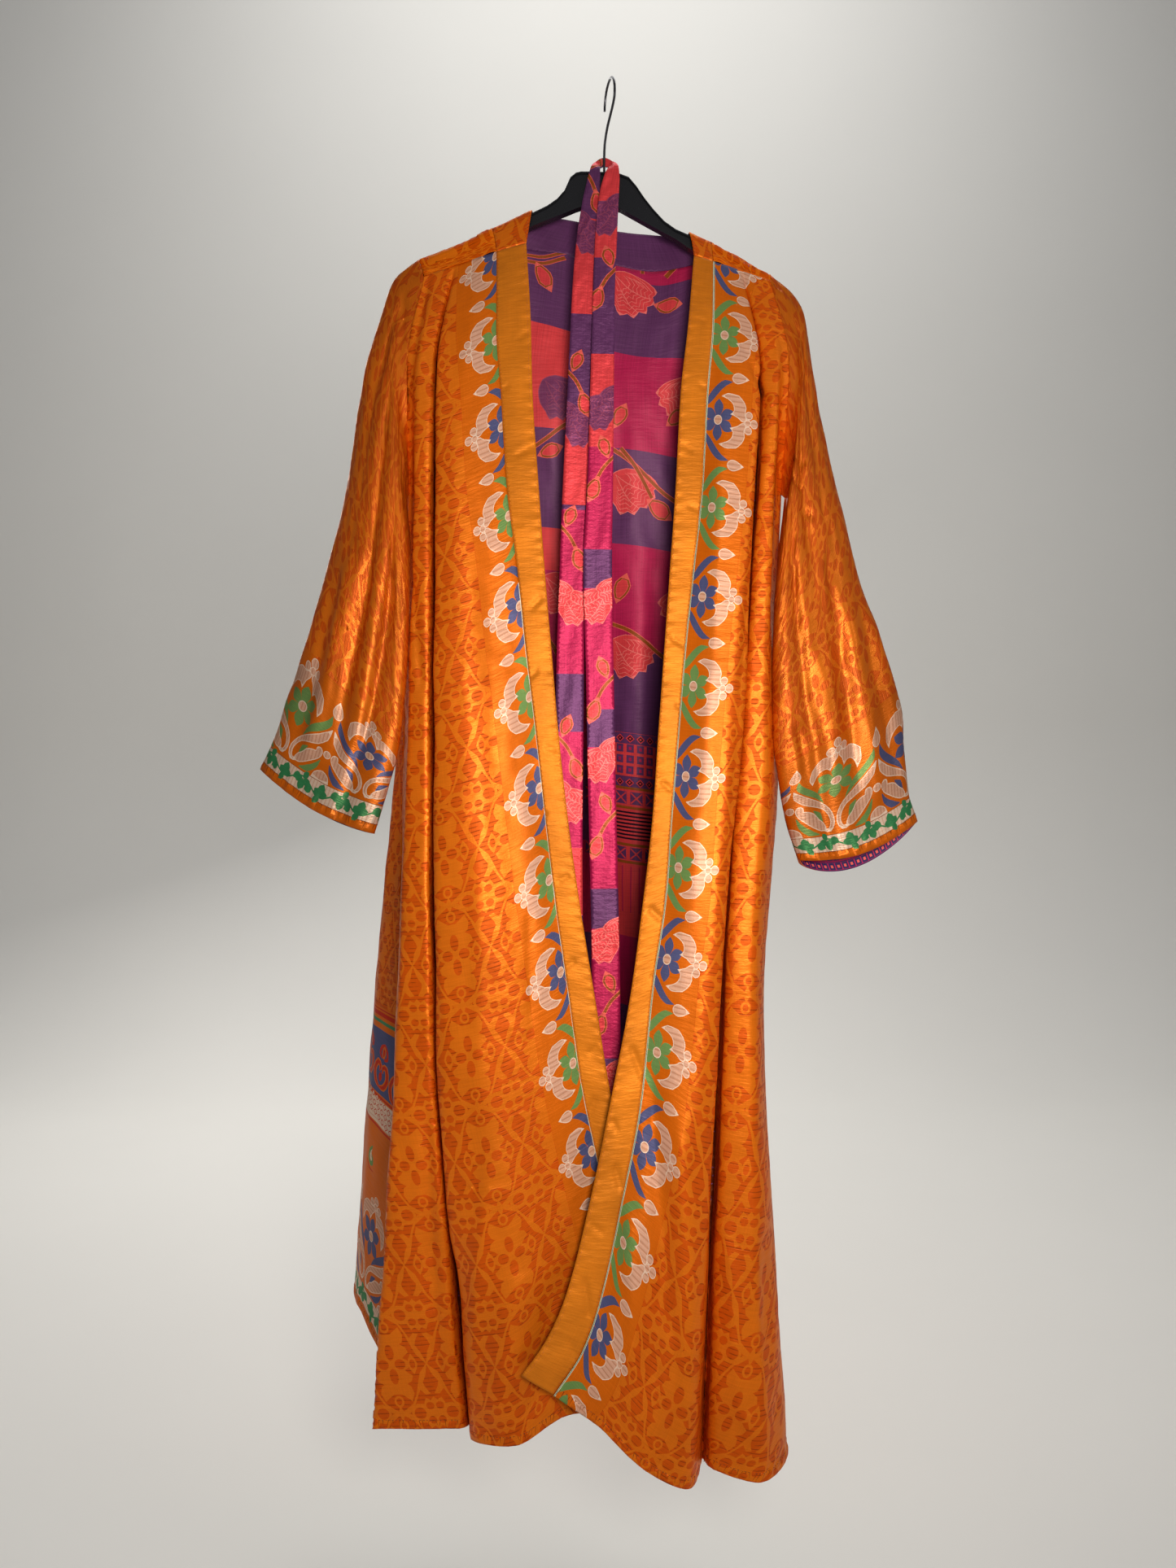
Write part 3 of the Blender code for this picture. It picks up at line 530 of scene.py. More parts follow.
def shrink(polygon, by):
    # The same outline drawn inwards, without the stretches that would cross
    if area(polygon) < 0:
        polygon = polygon[::-1]
    ahead = np.roll(polygon, -1, axis=0) - np.roll(polygon, 1, axis=0)
    ahead /= np.linalg.norm(ahead, axis=1)[:, None] + 1e-9
    inner = polygon + np.stack([-ahead[:, 1], ahead[:, 0]], axis=1) * by
    a, b = polygon, np.roll(polygon, -1, axis=0)
    along = b - a
    t = np.einsum("ijk,jk->ij", inner[:, None] - a[None], along) / (np.sum(along ** 2, axis=1) + 1e-12)
    near = a[None] + along[None] * np.clip(t, 0, 1)[:, :, None]
    gap = np.linalg.norm(inner[:, None] - near, axis=2).min(axis=1)
    return inner[gap > by * 0.93]


def clipAcross(polygon, low, high, axis=0):
    # What is left of an outline between two values of one coordinate
    for limit, sign in ((low, 1), (high, -1)):
        kept = []
        for p, q in zip(polygon, np.roll(polygon, -1, axis=0)):
            dp, dq = (p[axis] - limit) * sign, (q[axis] - limit) * sign
            if dp >= 0:
                kept.append(p)
            if dp * dq < 0:
                kept.append(p + (q - p) * (dp / (dp - dq)))
        polygon = np.array(kept)
        if len(polygon) < 3:
            return None
    return polygon


# Dyes of the woven and printed cloth, as they look in even light (red, green, blue of 255), with two painted
# shadows: pucker for the hems' small puckers, foldDark for the bottom of the fronts' deep folds
dyes = {
    "plain": (214, 100, 8), "damaskDark": (208, 82, 5), "damaskLight": (224, 110, 16),
    "white": (234, 202, 178), "hatched": (218, 164, 136), "blue": (78, 82, 122), "green": (108, 142, 78),
    "vine": (48, 128, 78), "stripWhite": (226, 194, 170), "red": (196, 44, 22),
    "ochre": (212, 118, 24), "selvedge": (236, 226, 200), "selvedgeGreen": (70, 130, 90),
    "plum": (98, 50, 94), "crimson": (184, 28, 78), "coral": (222, 62, 66), "brown": (150, 74, 24),
    "pinkEdge": (234, 96, 84), "tulipLine": (240, 112, 106), "plumLine": (150, 66, 96),
    # pucker: painted shadow of a hem's puckers
    "plumHead": (120, 52, 92), "navy": (44, 36, 84), "black": (26, 16, 34), "pucker": (142, 62, 8),
    # foldDark: painted shadow at the bottom of a front's deep fold
    "foldDark": (92, 30, 10),
}
# How much a dye shows the hatched weave, the ribs and the metallic gloss
weaves = {
    "hatched": (1, 0, 0), "stripWhite": (0.5, 0, 0), "damaskDark": (0, 1, 0),
    "damaskLight": (0, 0.1, 1), "plain": (0, 0, 0.6),
}


def linear(colour):
    share = np.array(colour, float) / 255
    return np.where(share <= 0.04045, share / 12.92, ((share + 0.055) / 1.055) ** 2.4)


# Sari border: b runs along it, a up from the top of its vine strip (mm)
border = {
    "repeat": 96.0, "flowerAt": 58.0, "budAt": 84.0, "petalLong": 23.5, "petalWide": 6.3, "heart": 5.6,
    "height": 112.0, "outlineWidth": 0.9, "stripHeight": 18.0, "vineWave": 48.0,
}


def flower(colour, b, a, start=0.0):
    # Six petals round a heart; start is the first petal's angle
    shapes = []
    for k in range(6):
        reach, wide = border["petalLong"] * (1.0 if k % 3 == 0 else 0.94), border["petalWide"]
        petal = roundOff([
            (2, 0), (reach * 0.35, wide * 0.7), (reach * 0.62, wide),
            (reach * 0.84, wide * 0.62), (reach, 0, 1),
            (reach * 0.84, -wide * 0.62), (reach * 0.62, -wide), (reach * 0.35, -wide * 0.7)], 2)
        shapes.append((colour, rotated(petal, pi * k / 3 + start) + (b, a)))
    heart = border["heart"]
    shapes.append(("white", oval(b, a, heart, heart, 16)))
    shapes.append(("hatched", oval(b, a, heart - 1, heart - 1, 14)))
    return shapes


def hatchedInside(outline):
    # A white line round a hatched filling
    return [("white", outline), ("hatched", shrink(outline, border["outlineWidth"]))]


def bead(b, a, halfX, halfY, count):
    line = border["outlineWidth"]
    return [("white", oval(b, a, halfX, halfY, count)),
            ("hatched", oval(b, a, halfX - line, halfY - line, count))]


def bracket(b, a):
    # Two crescents with a hooked inner corner that meet in a trefoil, above a flower at b and a
    half = (
        (26.5, 3, 1), (30.5, 11), (30, 19), (29, 26, 1), (23, 33),
        (16, 36.5), (9, 35.5), (4, 38), (0.4, 36),
        (1, 31), (4.5, 26), (7.5, 16, 1), (12, 20.5), (19, 18.5), (23.5, 12))
    shapes = []
    for sign in (1, -1):
        shapes += hatchedInside(roundOff(placed(half, flipX=sign), 2) + (b, a))
    for x, y, r in ((8.2, 40.5, 4.6), (-8.2, 40.5, 4.6), (0, 48, 5.0), (0, 39.5, 4.0)):
        shapes += bead(b + x, a + y, r, r * 1.1, 12)
    return shapes


def bud(b, a):
    half = [(0, 12, 1), (4.4, 4), (6.2, -3), (4.2, -8.5), (0, -10.5)]
    return hatchedInside(roundOff(mirrored(half, both=False), 2) + (b, a))


def scroll(b, sign, colour):
    # S-shaped leaf on one side of the half-way line at b
    leaf = roundOff(placed((
        (4.5, 75, 1), (3.2, 64), (8.5, 55), (17, 47), (27, 40.5), (37, 32, 1), (33, 42), (26, 50), (17, 58),
        (9.5, 66)), b, flipX=sign), 2)
    ribbon = stroke(placed((
        (1.4, 59), (7, 47.5), (16, 39), (27, 33.5), (37, 28), (43, 20.5), (45, 12), (41.5, 5),
        (35, 6)), b, flipX=sign), (0.4, 4.6, 5.2, 3.9, 2.8, 2.3, 2.2, 2.0, 1.4), 2)
    body = roundOff(placed((
        (38, 6), (31, 5), (23, 9), (15, 15), (8, 21), (5, 28), (8, 33),
        (13, 32), (14, 27, 1), (19, 26), (25, 23),
        (30, 17), (35, 13)), b, flipX=sign), 2)
    under = stroke(placed(((6, 20), (10, 12), (18, 5), (28, 2)), b, flipX=sign), (0.5, 2.6, 3.4, 0.6), 3)
    shade = stroke(placed(((24, 26), (30, 21), (34, 14)), b, flipX=sign), (0.6, 3.0, 0.6), 3)
    shapes = [(colour, leaf), (colour, under), (colour, shade)]
    return shapes + hatchedInside(ribbon) + hatchedInside(body)


def halfRound(b):
    arch = ((-11, 0, 1), (-9, 6), (-4, 9.5), (0, 10.5), (4, 9.5), (9, 6), (11, 0, 1))
    return hatchedInside(roundOff(placed(arch, b), 2))


def vineStrip(low, high):
    # White strip with a green vine and clusters of leaves, below a = 0
    height, wave = border["stripHeight"], border["vineWave"]
    xs = np.arange(low - wave, high + wave, wave / 8)
    shapes = [("stripWhite", box((low, -height), (high, 0))), ("brown", box((low, -0.6), (high, 0))),
              ("brown", box((low, -height), (high, -height + 0.5)))]
    vine = [(x, -height / 2 + 5 * sin(2 * pi * x / wave)) for x in xs]
    shapes.append(("vine", stroke(vine, [0.8] * len(xs), 2)))
    # each leaf of a cluster: its turn, its length, and how far along and up it starts
    cluster = ((-1.25, 10, -1, 3.4), (-0.1, 11.5, 0, 3.4), (1.1, 10, 1, 3.4), (2.6, 9, 0, 3.4),
               (-0.9, 9, 12, 0.5), (2.3, 7.5, -11, 1.0))
    for k in range(int((high - low) / (wave / 2)) + 2):
        x = (np.floor(low / wave) * 2 + k) * wave / 2 + wave / 4
        up = 1 if round((x - wave / 4) / (wave / 2)) % 2 == 0 else -1
        for turn, size, shift, rise in cluster:
            leaf = roundOff([(0, 0, 1), (size * 0.3, size * 0.34), (size * 0.7, size * 0.36), (size, 0, 1),
                             (size * 0.7, -size * 0.32), (size * 0.3, -size * 0.3)], 2)
            place = (x + shift, -height / 2 + up * rise)
            shapes.append(("vine", rotated(leaf, -up * pi / 2 + turn) + place))
    return shapes


def puckerShadows(low, high, top, bottom):
    # Painted shadows of small puckers across a hem: short dark strokes from top to bottom of the flat cloth
    # (mm)
    draw = np.random.default_rng(5)
    shapes, x = [], low
    while x < high:
        lean, size = draw.uniform(-1.2, 2.2), draw.uniform(0.18, 0.5)
        end = top + (bottom - top) * draw.uniform(0.35, 0.95)
        shapes.append(("pucker", stroke(((x, top), (x + lean, end)), (size, 0.12), 1)))
        x += draw.uniform(3.0, 7.5)
    return shapes


def sariBorder(low, high, start, full=True):
    # The border from low to high along it; start shifts the first flower, and not full leaves small parts out
    shapes = []
    first = int(np.floor((low - start) / border["repeat"])) - 1
    last = int(np.ceil((high - start) / border["repeat"])) + 1
    for k in range(first, last + 1):
        b = start + k * border["repeat"]
        half = b + border["repeat"] / 2
        odd = k % 2
        near, far = ("blue", "green") if odd else ("green", "blue")
        parts = slice(None) if full else slice(1)
        shapes += scroll(half, 1, far)[parts] + scroll(half, -1, near)[parts]
        shapes += flower(near, b, border["flowerAt"], pi / 6 if full else 0.0)
        shapes += bracket(b, border["flowerAt"])
        shapes += bud(half, border["budAt"])
        if full:
            shapes += bead(half, 29, 4.4, 4.4, 14) + halfRound(half)
    if full:
        shapes += vineStrip(low, high)
    return shapes


# Damask: light trellis, stars and leaves on a ribbed ground, one repeat (mm)
damask = {"width": 72.0, "height": 98.0, "inset": 0.3}


def damaskRepeat():
    halfW, halfH = damask["width"] / 2, damask["height"] / 2
    shapes = []
    # trellis arms: steep where they leave one crossing, flat where they reach the next
    arm = ((0, 0), (6.5, 11), (11, 20), (16, 31), (21, 40), (28, 46.5), (halfW, halfH))
    armWidths = (0.5, 3.0, 2.0, 1.0, 1.2, 2.6, 0.5)
    spur = ((2, 19, 1), (7, 18), (12, 23), (8.5, 33, 1), (6.5, 26))
    for sx in (1, -1):
        for sy in (1, -1):
            shapes.append(("damaskLight", stroke(placed(arm, flipX=sx, flipY=sy), armWidths, 1)))
            shapes.append(("damaskLight", roundOff(placed(spur, 0, halfH, sx, sy), 1)))
    # cartouche with a four-petalled flower, a ring at either end and a pointed ring at either side
    cartouche = mirrored([
        (0, 30), (4, 30), (8.5, 33), (14, 37, 1), (17.5, 29), (15.5, 22), (12, 20, 1), (17.5, 17),
        (19.5, 11.5), (15, 8.5, 1), (12.5, 6), (17, 3.5, 1)])
    # leaves round four dark ovals, between the crossings of the other column
    leaves = mirrored([(0, 16, 1), (3.5, 12.5), (8, 15, 1), (11, 9), (18, 9.5), (24.5, 5.5), (25.5, 0)])
    star = mirrored([(0, 8, 1), (2.5, 2.5), (7, 0, 1)])
    for outline, x, y in ((cartouche, halfW, 0), (leaves, 0, halfH), (star, halfW, halfH)):
        shapes.append(("damaskLight", roundOff(placed(outline, x, y), 1)))
    ring = ((0, 10.5, 1), (5.4, 0), (0, -10.5, 1), (-5.4, 0))
    for sign in (1, -1):
        shapes.append(("damaskLight", oval(halfW, 37 * sign, 5.2, 5.8, 10)))
        shapes.append(("damaskDark", oval(halfW, 37 * sign, 3.0, 3.6, 8)))
        shapes.append(("damaskDark", oval(halfW, 12 * sign, 4.4, 8.0, 12)))
        shapes.append(("damaskDark", oval(halfW + 8.6 * sign, 0, 5.6, 5.2, 12)))
        x = halfW + 21.5 * sign
        shapes.append(("damaskLight", roundOff(placed(ring, x), 2)))
        shapes.append(("damaskDark", oval(x, 0, 3.0, 4.8, 8)))
        shapes.append(("damaskDark", oval(16.5 * sign, halfH, 6.2, 5.8, 12)))
        for x in (5, -5):
            shapes.append(("damaskDark", oval(x, halfH + 7 * sign, 4.2, 3.8, 10)))
    return shapes


def damaskField(low, high):
    # Repeats over a box of the flat cloth, cut off just inside its sides
    (x0, y0), (x1, y1) = low, high
    shapes = [("damaskDark", box(low, high))]
    repeat = damaskRepeat()
    width, height, inset = damask["width"], damask["height"], damask["inset"]
    for i in range(int(np.floor(x0 / width)) - 1, int(np.ceil(x1 / width)) + 1):
        for j in range(int(np.floor(y0 / height)) - 1, int(np.ceil(y1 / height)) + 1):
            for kind, outline in repeat:
                moved = clipAcross(outline + (i * width, j * height), x0 + inset, x1 - inset)
                moved = moved if moved is None else clipAcross(moved, y0 + inset, y1 - inset, 1)
                if moved is not None:
                    shapes.append((kind, moved))
    return shapes


def creaseRelief(creases, x, z):
    # Soft troughs (negative depth) and ridges along listed lines: half width, depth, then points (mm)
    total = np.zeros(len(x))
    for half, depth, *points in creases:
        line = np.array(points, float) * mm
        lengths = np.concatenate([[0], np.cumsum(np.linalg.norm(np.diff(line, axis=0), axis=1))])
        best, place = np.full(len(x), 1e9), np.zeros(len(x))
        for (x0, z0), (x1, z1), start in zip(line, line[1:], lengths):
            dx, dz = x1 - x0, z1 - z0
            t = np.clip(((x - x0) * dx + (z - z0) * dz) / (dx * dx + dz * dz), 0, 1)
            gap = np.hypot(x - x0 - t * dx, z - z0 - t * dz)
            nearer = gap < best
            best = np.where(nearer, gap, best)
            place = np.where(nearer, start + t * np.hypot(dx, dz), place)
        share, ease = place / lengths[-1], 0.22
        taper = np.clip(share / ease, 0, 1) * np.clip((1 - share) / ease, 0, 1)
        total += depth * mm * np.exp(-(best / (half * mm)) ** 2) * taper * taper * (3 - 2 * taper)
    return total


def ripple(u, w, height, wave, seed, stretch=1.0):
    # Uneven small waves of crumpled silk
    draw = np.random.default_rng(seed)
    total = np.zeros(len(u))
    for _ in range(9):
        turn, size, phase = draw.uniform(0, pi), draw.uniform(0.7, 1.6), draw.uniform(0, 2 * pi)
        length = wave * mm * size
        total += np.sin(2 * pi * (u * cos(turn) * stretch + w * sin(turn)) / length + phase)
    return height * mm * total / 3


def stepsTo(length, step, fine):
    # Rows down a panel, closer together over the first length of fine
    stops, at = [0.0], 0.0
    while at < length - step * 0.6:
        at += fine[1] if at < fine[0] else step
        stops.append(at)
    return np.array(stops) * (length / stops[-1])


def within(loop, spots):
    # Which spots a closed loop runs round
    x, y = spots[:, 0][:, None], spots[:, 1][:, None]
    start, end = np.asarray(loop), np.roll(loop, -1, axis=0)
    left = (end[:, 0] - start[:, 0]) * (y - start[:, 1]) - (x - start[:, 0]) * (end[:, 1] - start[:, 1])
    up = (start[:, 1] <= y) & (end[:, 1] > y) & (left > 0)
    down = (start[:, 1] > y) & (end[:, 1] <= y) & (left < 0)
    return up.sum(axis=1) != down.sum(axis=1)


def ownersOf(centres, sharing, polygons):
    # The last drawn motif that each triangle's centre lies in, or 0
    top = np.zeros(len(centres), int)
    batch = 2000
    for owner in sorted(sharing):
        rows = np.array(sharing[owner])
        for start in range(0, len(rows), batch):
            part = rows[start:start + batch]
            top[part[within(polygons[owner - 1][1], centres[part])]] = owner
    return top.tolist()


def triangulate(outline, polygons, spacing, edge, fine=(0.0, 1.0)):
    # Triangles inside an outline that keep every motif's own line; edge is the margin without loose points
    points, loops = list(outline), [list(range(len(outline)))]
    for _, flat in polygons:
        loops.append(list(range(len(points), len(points) + len(flat))))
        points.extend(flat)
    tree = KDTree(len(points))
    for i, p in enumerate(points):
        tree.insert((p[0], p[1], 0.0), i)
    tree.balance()
    (lowX, lowW), (highX, highW) = np.min(outline, axis=0), np.max(outline, axis=0)
    nearest = 0.42  # of the spacing: how near a loose point comes to a motif's line
    for j, w in enumerate(lowW + stepsTo(highW - lowW, spacing, fine)[1:-1]):
        pitch = fine[1] * 1.6 if w < lowW + fine[0] else spacing
        count = max(2, round((highX - lowX) / pitch))
        for x in np.linspace(lowX, highX, count + 1)[:-1] + pitch / 4 * (-1) ** j:
            inside = lowX + edge < x < highX - edge
            if inside and tree.find((x, w, 0.0))[2] > min(pitch * nearest, spacing * nearest):
                points.append((x, w))
    verts, _, faces, sources, _, owners = delaunay_2d_cdt(
        [Vector(p) for p in points], [], loops, 0, cloth["merge"] * mm, True)
    kept = [i for i, owner in enumerate(owners) if 0 in owner]
    flat = np.array([(p[0], p[1]) for p in verts])
    # a motif can be given triangles outside its own line, so the centres are tested too
    centres = flat[np.array([faces[i] for i in kept])].mean(axis=1)
    sharing = {}
    for row, i in enumerate(kept):
        for owner in owners[i]:
            if owner:
                sharing.setdefault(owner, []).append(row)
    return flat, [tuple(faces[i]) for i in kept], ownersOf(centres, sharing, polygons), sources


def rimOf(faces):
    # The outline of a set of triangles as directed edges, in order
    directed = {(face[k], face[(k + 1) % 3]) for face in faces for k in range(3)}
    following = {a: b for a, b in directed if (b, a) not in directed}
    at = min(following)
    rim = []
    for _ in range(len(following)):
        rim.append((at, following[at]))
        at = following[at]
        if at == rim[0][0]:
            break
    return rim


def inFlat(layout, shapes, step, tube):
    # Motifs (mm) as outlines on the cutting rectangle (m), all counter-clockwise
    polygons = []
    width, length = layout["width"], layout["length"]
    for kind, points in shapes:
        if len(points) < 3:
            continue
        flat = splitEdges(np.array(points, float) * mm, step * 1.2)
        if flat[:, 1].max() <= 0 or flat[:, 1].min() >= length:
            continue
        x = toFlat(layout, flat[:, 0], np.clip(flat[:, 1], 0, length))
        if x.max() <= 0 or x.min() >= width:
            continue
        flat = np.stack([x, flat[:, 1]], axis=1)
        if tube:
            flat = clipAcross(flat, cloth["seamClear"] * mm, width - cloth["seamClear"] * mm)
        if flat is None or abs(area(flat)) < 1e-7:
            continue
        polygons.append((kind, flat if area(flat) > 0 else flat[::-1]))
    return polygons


def sideOf(layout, flat, tube):
    # Where points of the cutting rectangle lie, and the surface's own side there
    surface = layout["surface"]
    at, v = toSurface(layout, flat[:, 0], flat[:, 1])
    low, high = layout["ats"][0], layout["ats"][-1]
    vLow, vHigh = layout["vs"][0], layout["vs"][-1]
    stepAt, stepV = (high - low) * 2e-3, (vHigh - vLow) * 1e-3
    wrap = (lambda a: a) if tube else (lambda a: np.clip(a, low, high))
    across = surface(wrap(at + stepAt), v) - surface(wrap(at - stepAt), v)
    down = surface(at, np.clip(v + stepV, vLow, vHigh)) - surface(at, np.clip(v - stepV, vLow, vHigh))
    normal = np.cross(across, down)
    return at, v, surface(at, v), normal / (np.linalg.norm(normal, axis=1)[:, None] + 1e-12)


def cutCloth(name, layout, shapes, relief, turned, materials, ground="plain", notch=None, tube=False,
             shear=None, spacing=None, fine=(0.0, 1.0), sides=None, inside=(), deeper=None):
    # Cloth cut flat along its outlines and motifs, laid on its surface, with a plainer inner side and a rim
    step = (spacing or (cloth["spacing"])) * mm
    width, length = layout["width"], layout["length"]
    gap = 0 if tube else cloth["seamGap"] * mm / 2
    edgeX = np.linspace(gap, width - gap, max(2, round(width / step)) + 1)
    edgeW = stepsTo(length, step, fine)
    if notch is None:
        outline = ([(x, 0.0) for x in edgeX[:-1]] + [(edgeX[-1], w) for w in edgeW[:-1]]
                   + [(x, length) for x in edgeX[::-1][:-1]] + [(edgeX[0], w) for w in edgeW[::-1][:-1]])
    else:
        outline = notch(edgeX, edgeW)
    polygons = inFlat(layout, shapes, step, tube)
    outer, faces, tops, _ = triangulate(outline, polygons, step, gap + step * 0.4, fine)
    kinds = [polygons[top - 1][0] if top else ground for top in tops]
    rim = rimOf(faces)
    innerPolygons = inFlat(layout, inside, step, tube)
    inner, innerFaces, innerTops, sources = triangulate(
        [tuple(outer[a]) for a, _ in rim], innerPolygons, step * cloth["innerStep"], gap + step * 0.5, fine)
    innerKinds = [innerPolygons[top - 1][0] if top else "plum" for top in innerTops]
    partner = {rim[source][0]: len(outer) + i for i, made in enumerate(sources) for source in made
               if source < len(rim)}
    rimFaces, tiny = [], 1e-6
    for a, b in rim:
        ends = outer[a][0], outer[b][0]
        onSeam = tube and (max(ends) < tiny or min(ends) > width - tiny)
        if not onSeam and a in partner and b in partner:
            rimFaces.append((b, a, partner[a], partner[b]))
    count, flat = len(outer), np.concatenate([outer, inner])
    allFaces = faces + [tuple(i + count for i in face[::-1]) for face in innerFaces] + rimFaces
    at, v, place, normal = sideOf(layout, flat, tube)
    if turned:
        normal = -normal
        allFaces = [face[::-1] for face in allFaces]
    left, right = endsAt(layout, flat[:, 1])
    u, w = left + flat[:, 0] / width * (right - left), flat[:, 1]
    lift = relief(u, w, place, at, v)
    outside, behind = sides or (cloth["layerGap"] / 2 + cloth["wall"], cloth["layerGap"] / 2)
    innerLift = lift if deeper is None else lift - deeper(lift, at, v)
    lift = np.where(np.arange(len(flat)) < count, lift + outside * mm, innerLift + behind * mm)
    place = place + normal * lift[:, None]
    mesh = bpy.data.meshes.new(name)
    mesh.from_pydata(place.tolist(), [], allFaces)
    corners = np.empty(len(mesh.loops), int)
    mesh.loops.foreach_get("vertex_index", corners)
    slant = shear(u) if shear is not None else 0.0
    # the threads run round a sleeve and down a panel
    uv = np.stack([w, u], axis=1) if tube else np.stack([u, w - slant], axis=1)
    mesh.uv_layers.new(name="flat").data.foreach_set("uv", uv[corners].ravel())
    colours = {kind: (*linear(colour), 1.0) for kind, colour in dyes.items()}
    shares = {kind: (*weaves.get(kind, (0, 0, 0)), 1.0) for kind in dyes}
    sizes = [len(face) for face in allFaces]
    every = kinds + innerKinds + [ground] * len(rimFaces)
    for label, facts in (("dye", colours), ("weave", shares)):
        layer = mesh.color_attributes.new(name=label, type="FLOAT_COLOR", domain="CORNER")
        layer.data.foreach_set("color", np.repeat([facts[kind] for kind in every], sizes, axis=0).ravel())
    for material in materials:
        mesh.materials.append(material)
    slots = [0] * len(faces) + [len(materials) - 1] * len(innerFaces) + [0] * len(rimFaces)
    mesh.polygons.foreach_set("material_index", slots)
    mesh.shade_smooth()
    if tube:
        bm = bmesh.new()
        bm.from_mesh(mesh)
        bmesh.ops.remove_doubles(bm, verts=bm.verts, dist=2e-5)
        bm.to_mesh(mesh)
        bm.free()
    piece = bpy.data.objects.new(name, mesh)
    bpy.context.scene.collection.objects.link(piece)
    print(name, len(faces), "triangles outside,", len(innerFaces), "inside")
    return piece


# Materials

def addNode(tree, kind, inputs=(), **settings):
    made = tree.nodes.new(kind)
    for key, value in settings.items():
        setattr(made, key, value)
    for key, value in dict(inputs).items():
        socket = made.inputs[key]
        if isinstance(value, bpy.types.NodeSocket):
            tree.links.new(value, socket)
        else:
            socket.default_value = value
    return made


def calculate(tree, operation, *values):
    return addNode(tree, "ShaderNodeMath", dict(enumerate(values)), operation=operation).outputs[0]


def silkMaterial(name, look):
    material = bpy.data.materials.new(name)
    material.use_nodes = True
    tree = material.node_tree
    shader = tree.nodes["Principled BSDF"]
    flat = addNode(tree, "ShaderNodeUVMap", uv_map="flat").outputs[0]
    along = addNode(tree, "ShaderNodeSeparateXYZ", {0: flat}).outputs[1]
    dye = addNode(tree, "ShaderNodeAttribute", attribute_name="dye").outputs["Color"]
    weave = addNode(tree, "ShaderNodeAttribute", attribute_name="weave").outputs["Color"]
    hatchShare, ribShare, satinShare = addNode(tree, "ShaderNodeSeparateColor", {0: weave}).outputs

    def times(a, b):
        return calculate(tree, "MULTIPLY", a, b)

    def spread(noise, size, middle):
        # A noise, which runs from 0 to 1, as a value round a middle one
        return calculate(tree, "MULTIPLY_ADD", noise, size, middle - size / 2)

    def lines(pitch, sharp):
        wave = calculate(tree, "SINE", times(along, 2 * pi / (pitch * mm)))
        return addNode(tree, "ShaderNodeMapRange", {"Value": wave, "From Min": sharp, "From Max": 1.0},
                       interpolation_type="SMOOTHSTEP").outputs[0]

    def streaks(acrossScale, alongScale, detail):
        scale = {0: flat, "Scale": (acrossScale, alongScale, 1.0)}
        mapped = addNode(tree, "ShaderNodeMapping", scale).outputs[0]
        facts = {"Vector": mapped, "Scale": 1.0, "Detail": detail, "Roughness": 0.6}
        return addNode(tree, "ShaderNodeTexNoise", facts).outputs[0]
    # slubs: long streaks along the threads in both directions
    warp = streaks(1 / (look["warpPitch"] * mm), 1 / (look["warpLength"] * mm), 2.0)
    weft = streaks(1 / (look["weftLength"] * mm), 1 / (look["weftPitch"] * mm), 2.0)
    crinkled = streaks(1 / (look["crinkleAcross"] * mm), 1 / (look["crinkleDown"] * mm), 4.0)
    cloud = streaks(14.0, 9.0, 3.0)
    broken = addNode(tree, "ShaderNodeMapRange", {
        "Value": streaks(70.0, 210.0, 1.0), "From Min": 0.4, "From Max": 0.52}).outputs[0]
    ribs = times(times(lines(look["ribPitch"], 0.5), broken), ribShare)
    hatch = times(lines(look["hatchPitch"], 0.1), hatchShare)
    # colour
    shade = calculate(tree, "ADD", spread(warp, look["warpShade"], 1), spread(weft, look["weftShade"], 0))
    shade = calculate(tree, "ADD", spread(cloud, look["cloudShade"], 0), shade)
    # the colour is scaled by paintedShadeFactor: painted shade where it is below 1, as on the sleeves
    shade = times(calculate(tree, "SUBTRACT", shade, times(ribs, look["ribShade"])), look["paintedShadeFactor"])
    # 6 and 7 are the two colours of the mix
    hatched = addNode(tree, "ShaderNodeMix", data_type="RGBA")
    tree.links.new(hatch, hatched.inputs["Factor"])
    tree.links.new(dye, hatched.inputs[6])
    hatched.inputs[7].default_value = (*linear(look["hatchDye"]), 1.0)
    shaded = addNode(tree, "ShaderNodeVectorMath", {0: hatched.outputs[2], "Scale": shade}, operation="SCALE")
    tree.links.new(shaded.outputs[0], shader.inputs["Base Color"])
    # gloss
    rough = spread(weft, look["roughSpread"], look["roughness"])
    rough = calculate(tree, "SUBTRACT", rough, times(satinShare, look["satin"]))
    tree.links.new(rough, shader.inputs["Roughness"])
    # fine relief
    height = calculate(tree, "ADD", times(warp, look["warpHeight"]), times(weft, look["weftHeight"]))
    height = calculate(tree, "SUBTRACT", height, times(ribs, look["ribHeight"]))
    height = calculate(tree, "ADD", height, times(crinkled, look["crinkleHeight"]))
    bump = addNode(tree, "ShaderNodeBump", {"Height": height, "Distance": mm, "Strength": look["bump"]})
    tree.links.new(bump.outputs[0], shader.inputs["Normal"])
    shader.inputs["Specular IOR Level"].default_value = look["specular"]
    shader.inputs["Metallic"].default_value = look["metallic"]
    shader.inputs["Specular Tint"].default_value = (*look["shine"], 1.0)
    return material


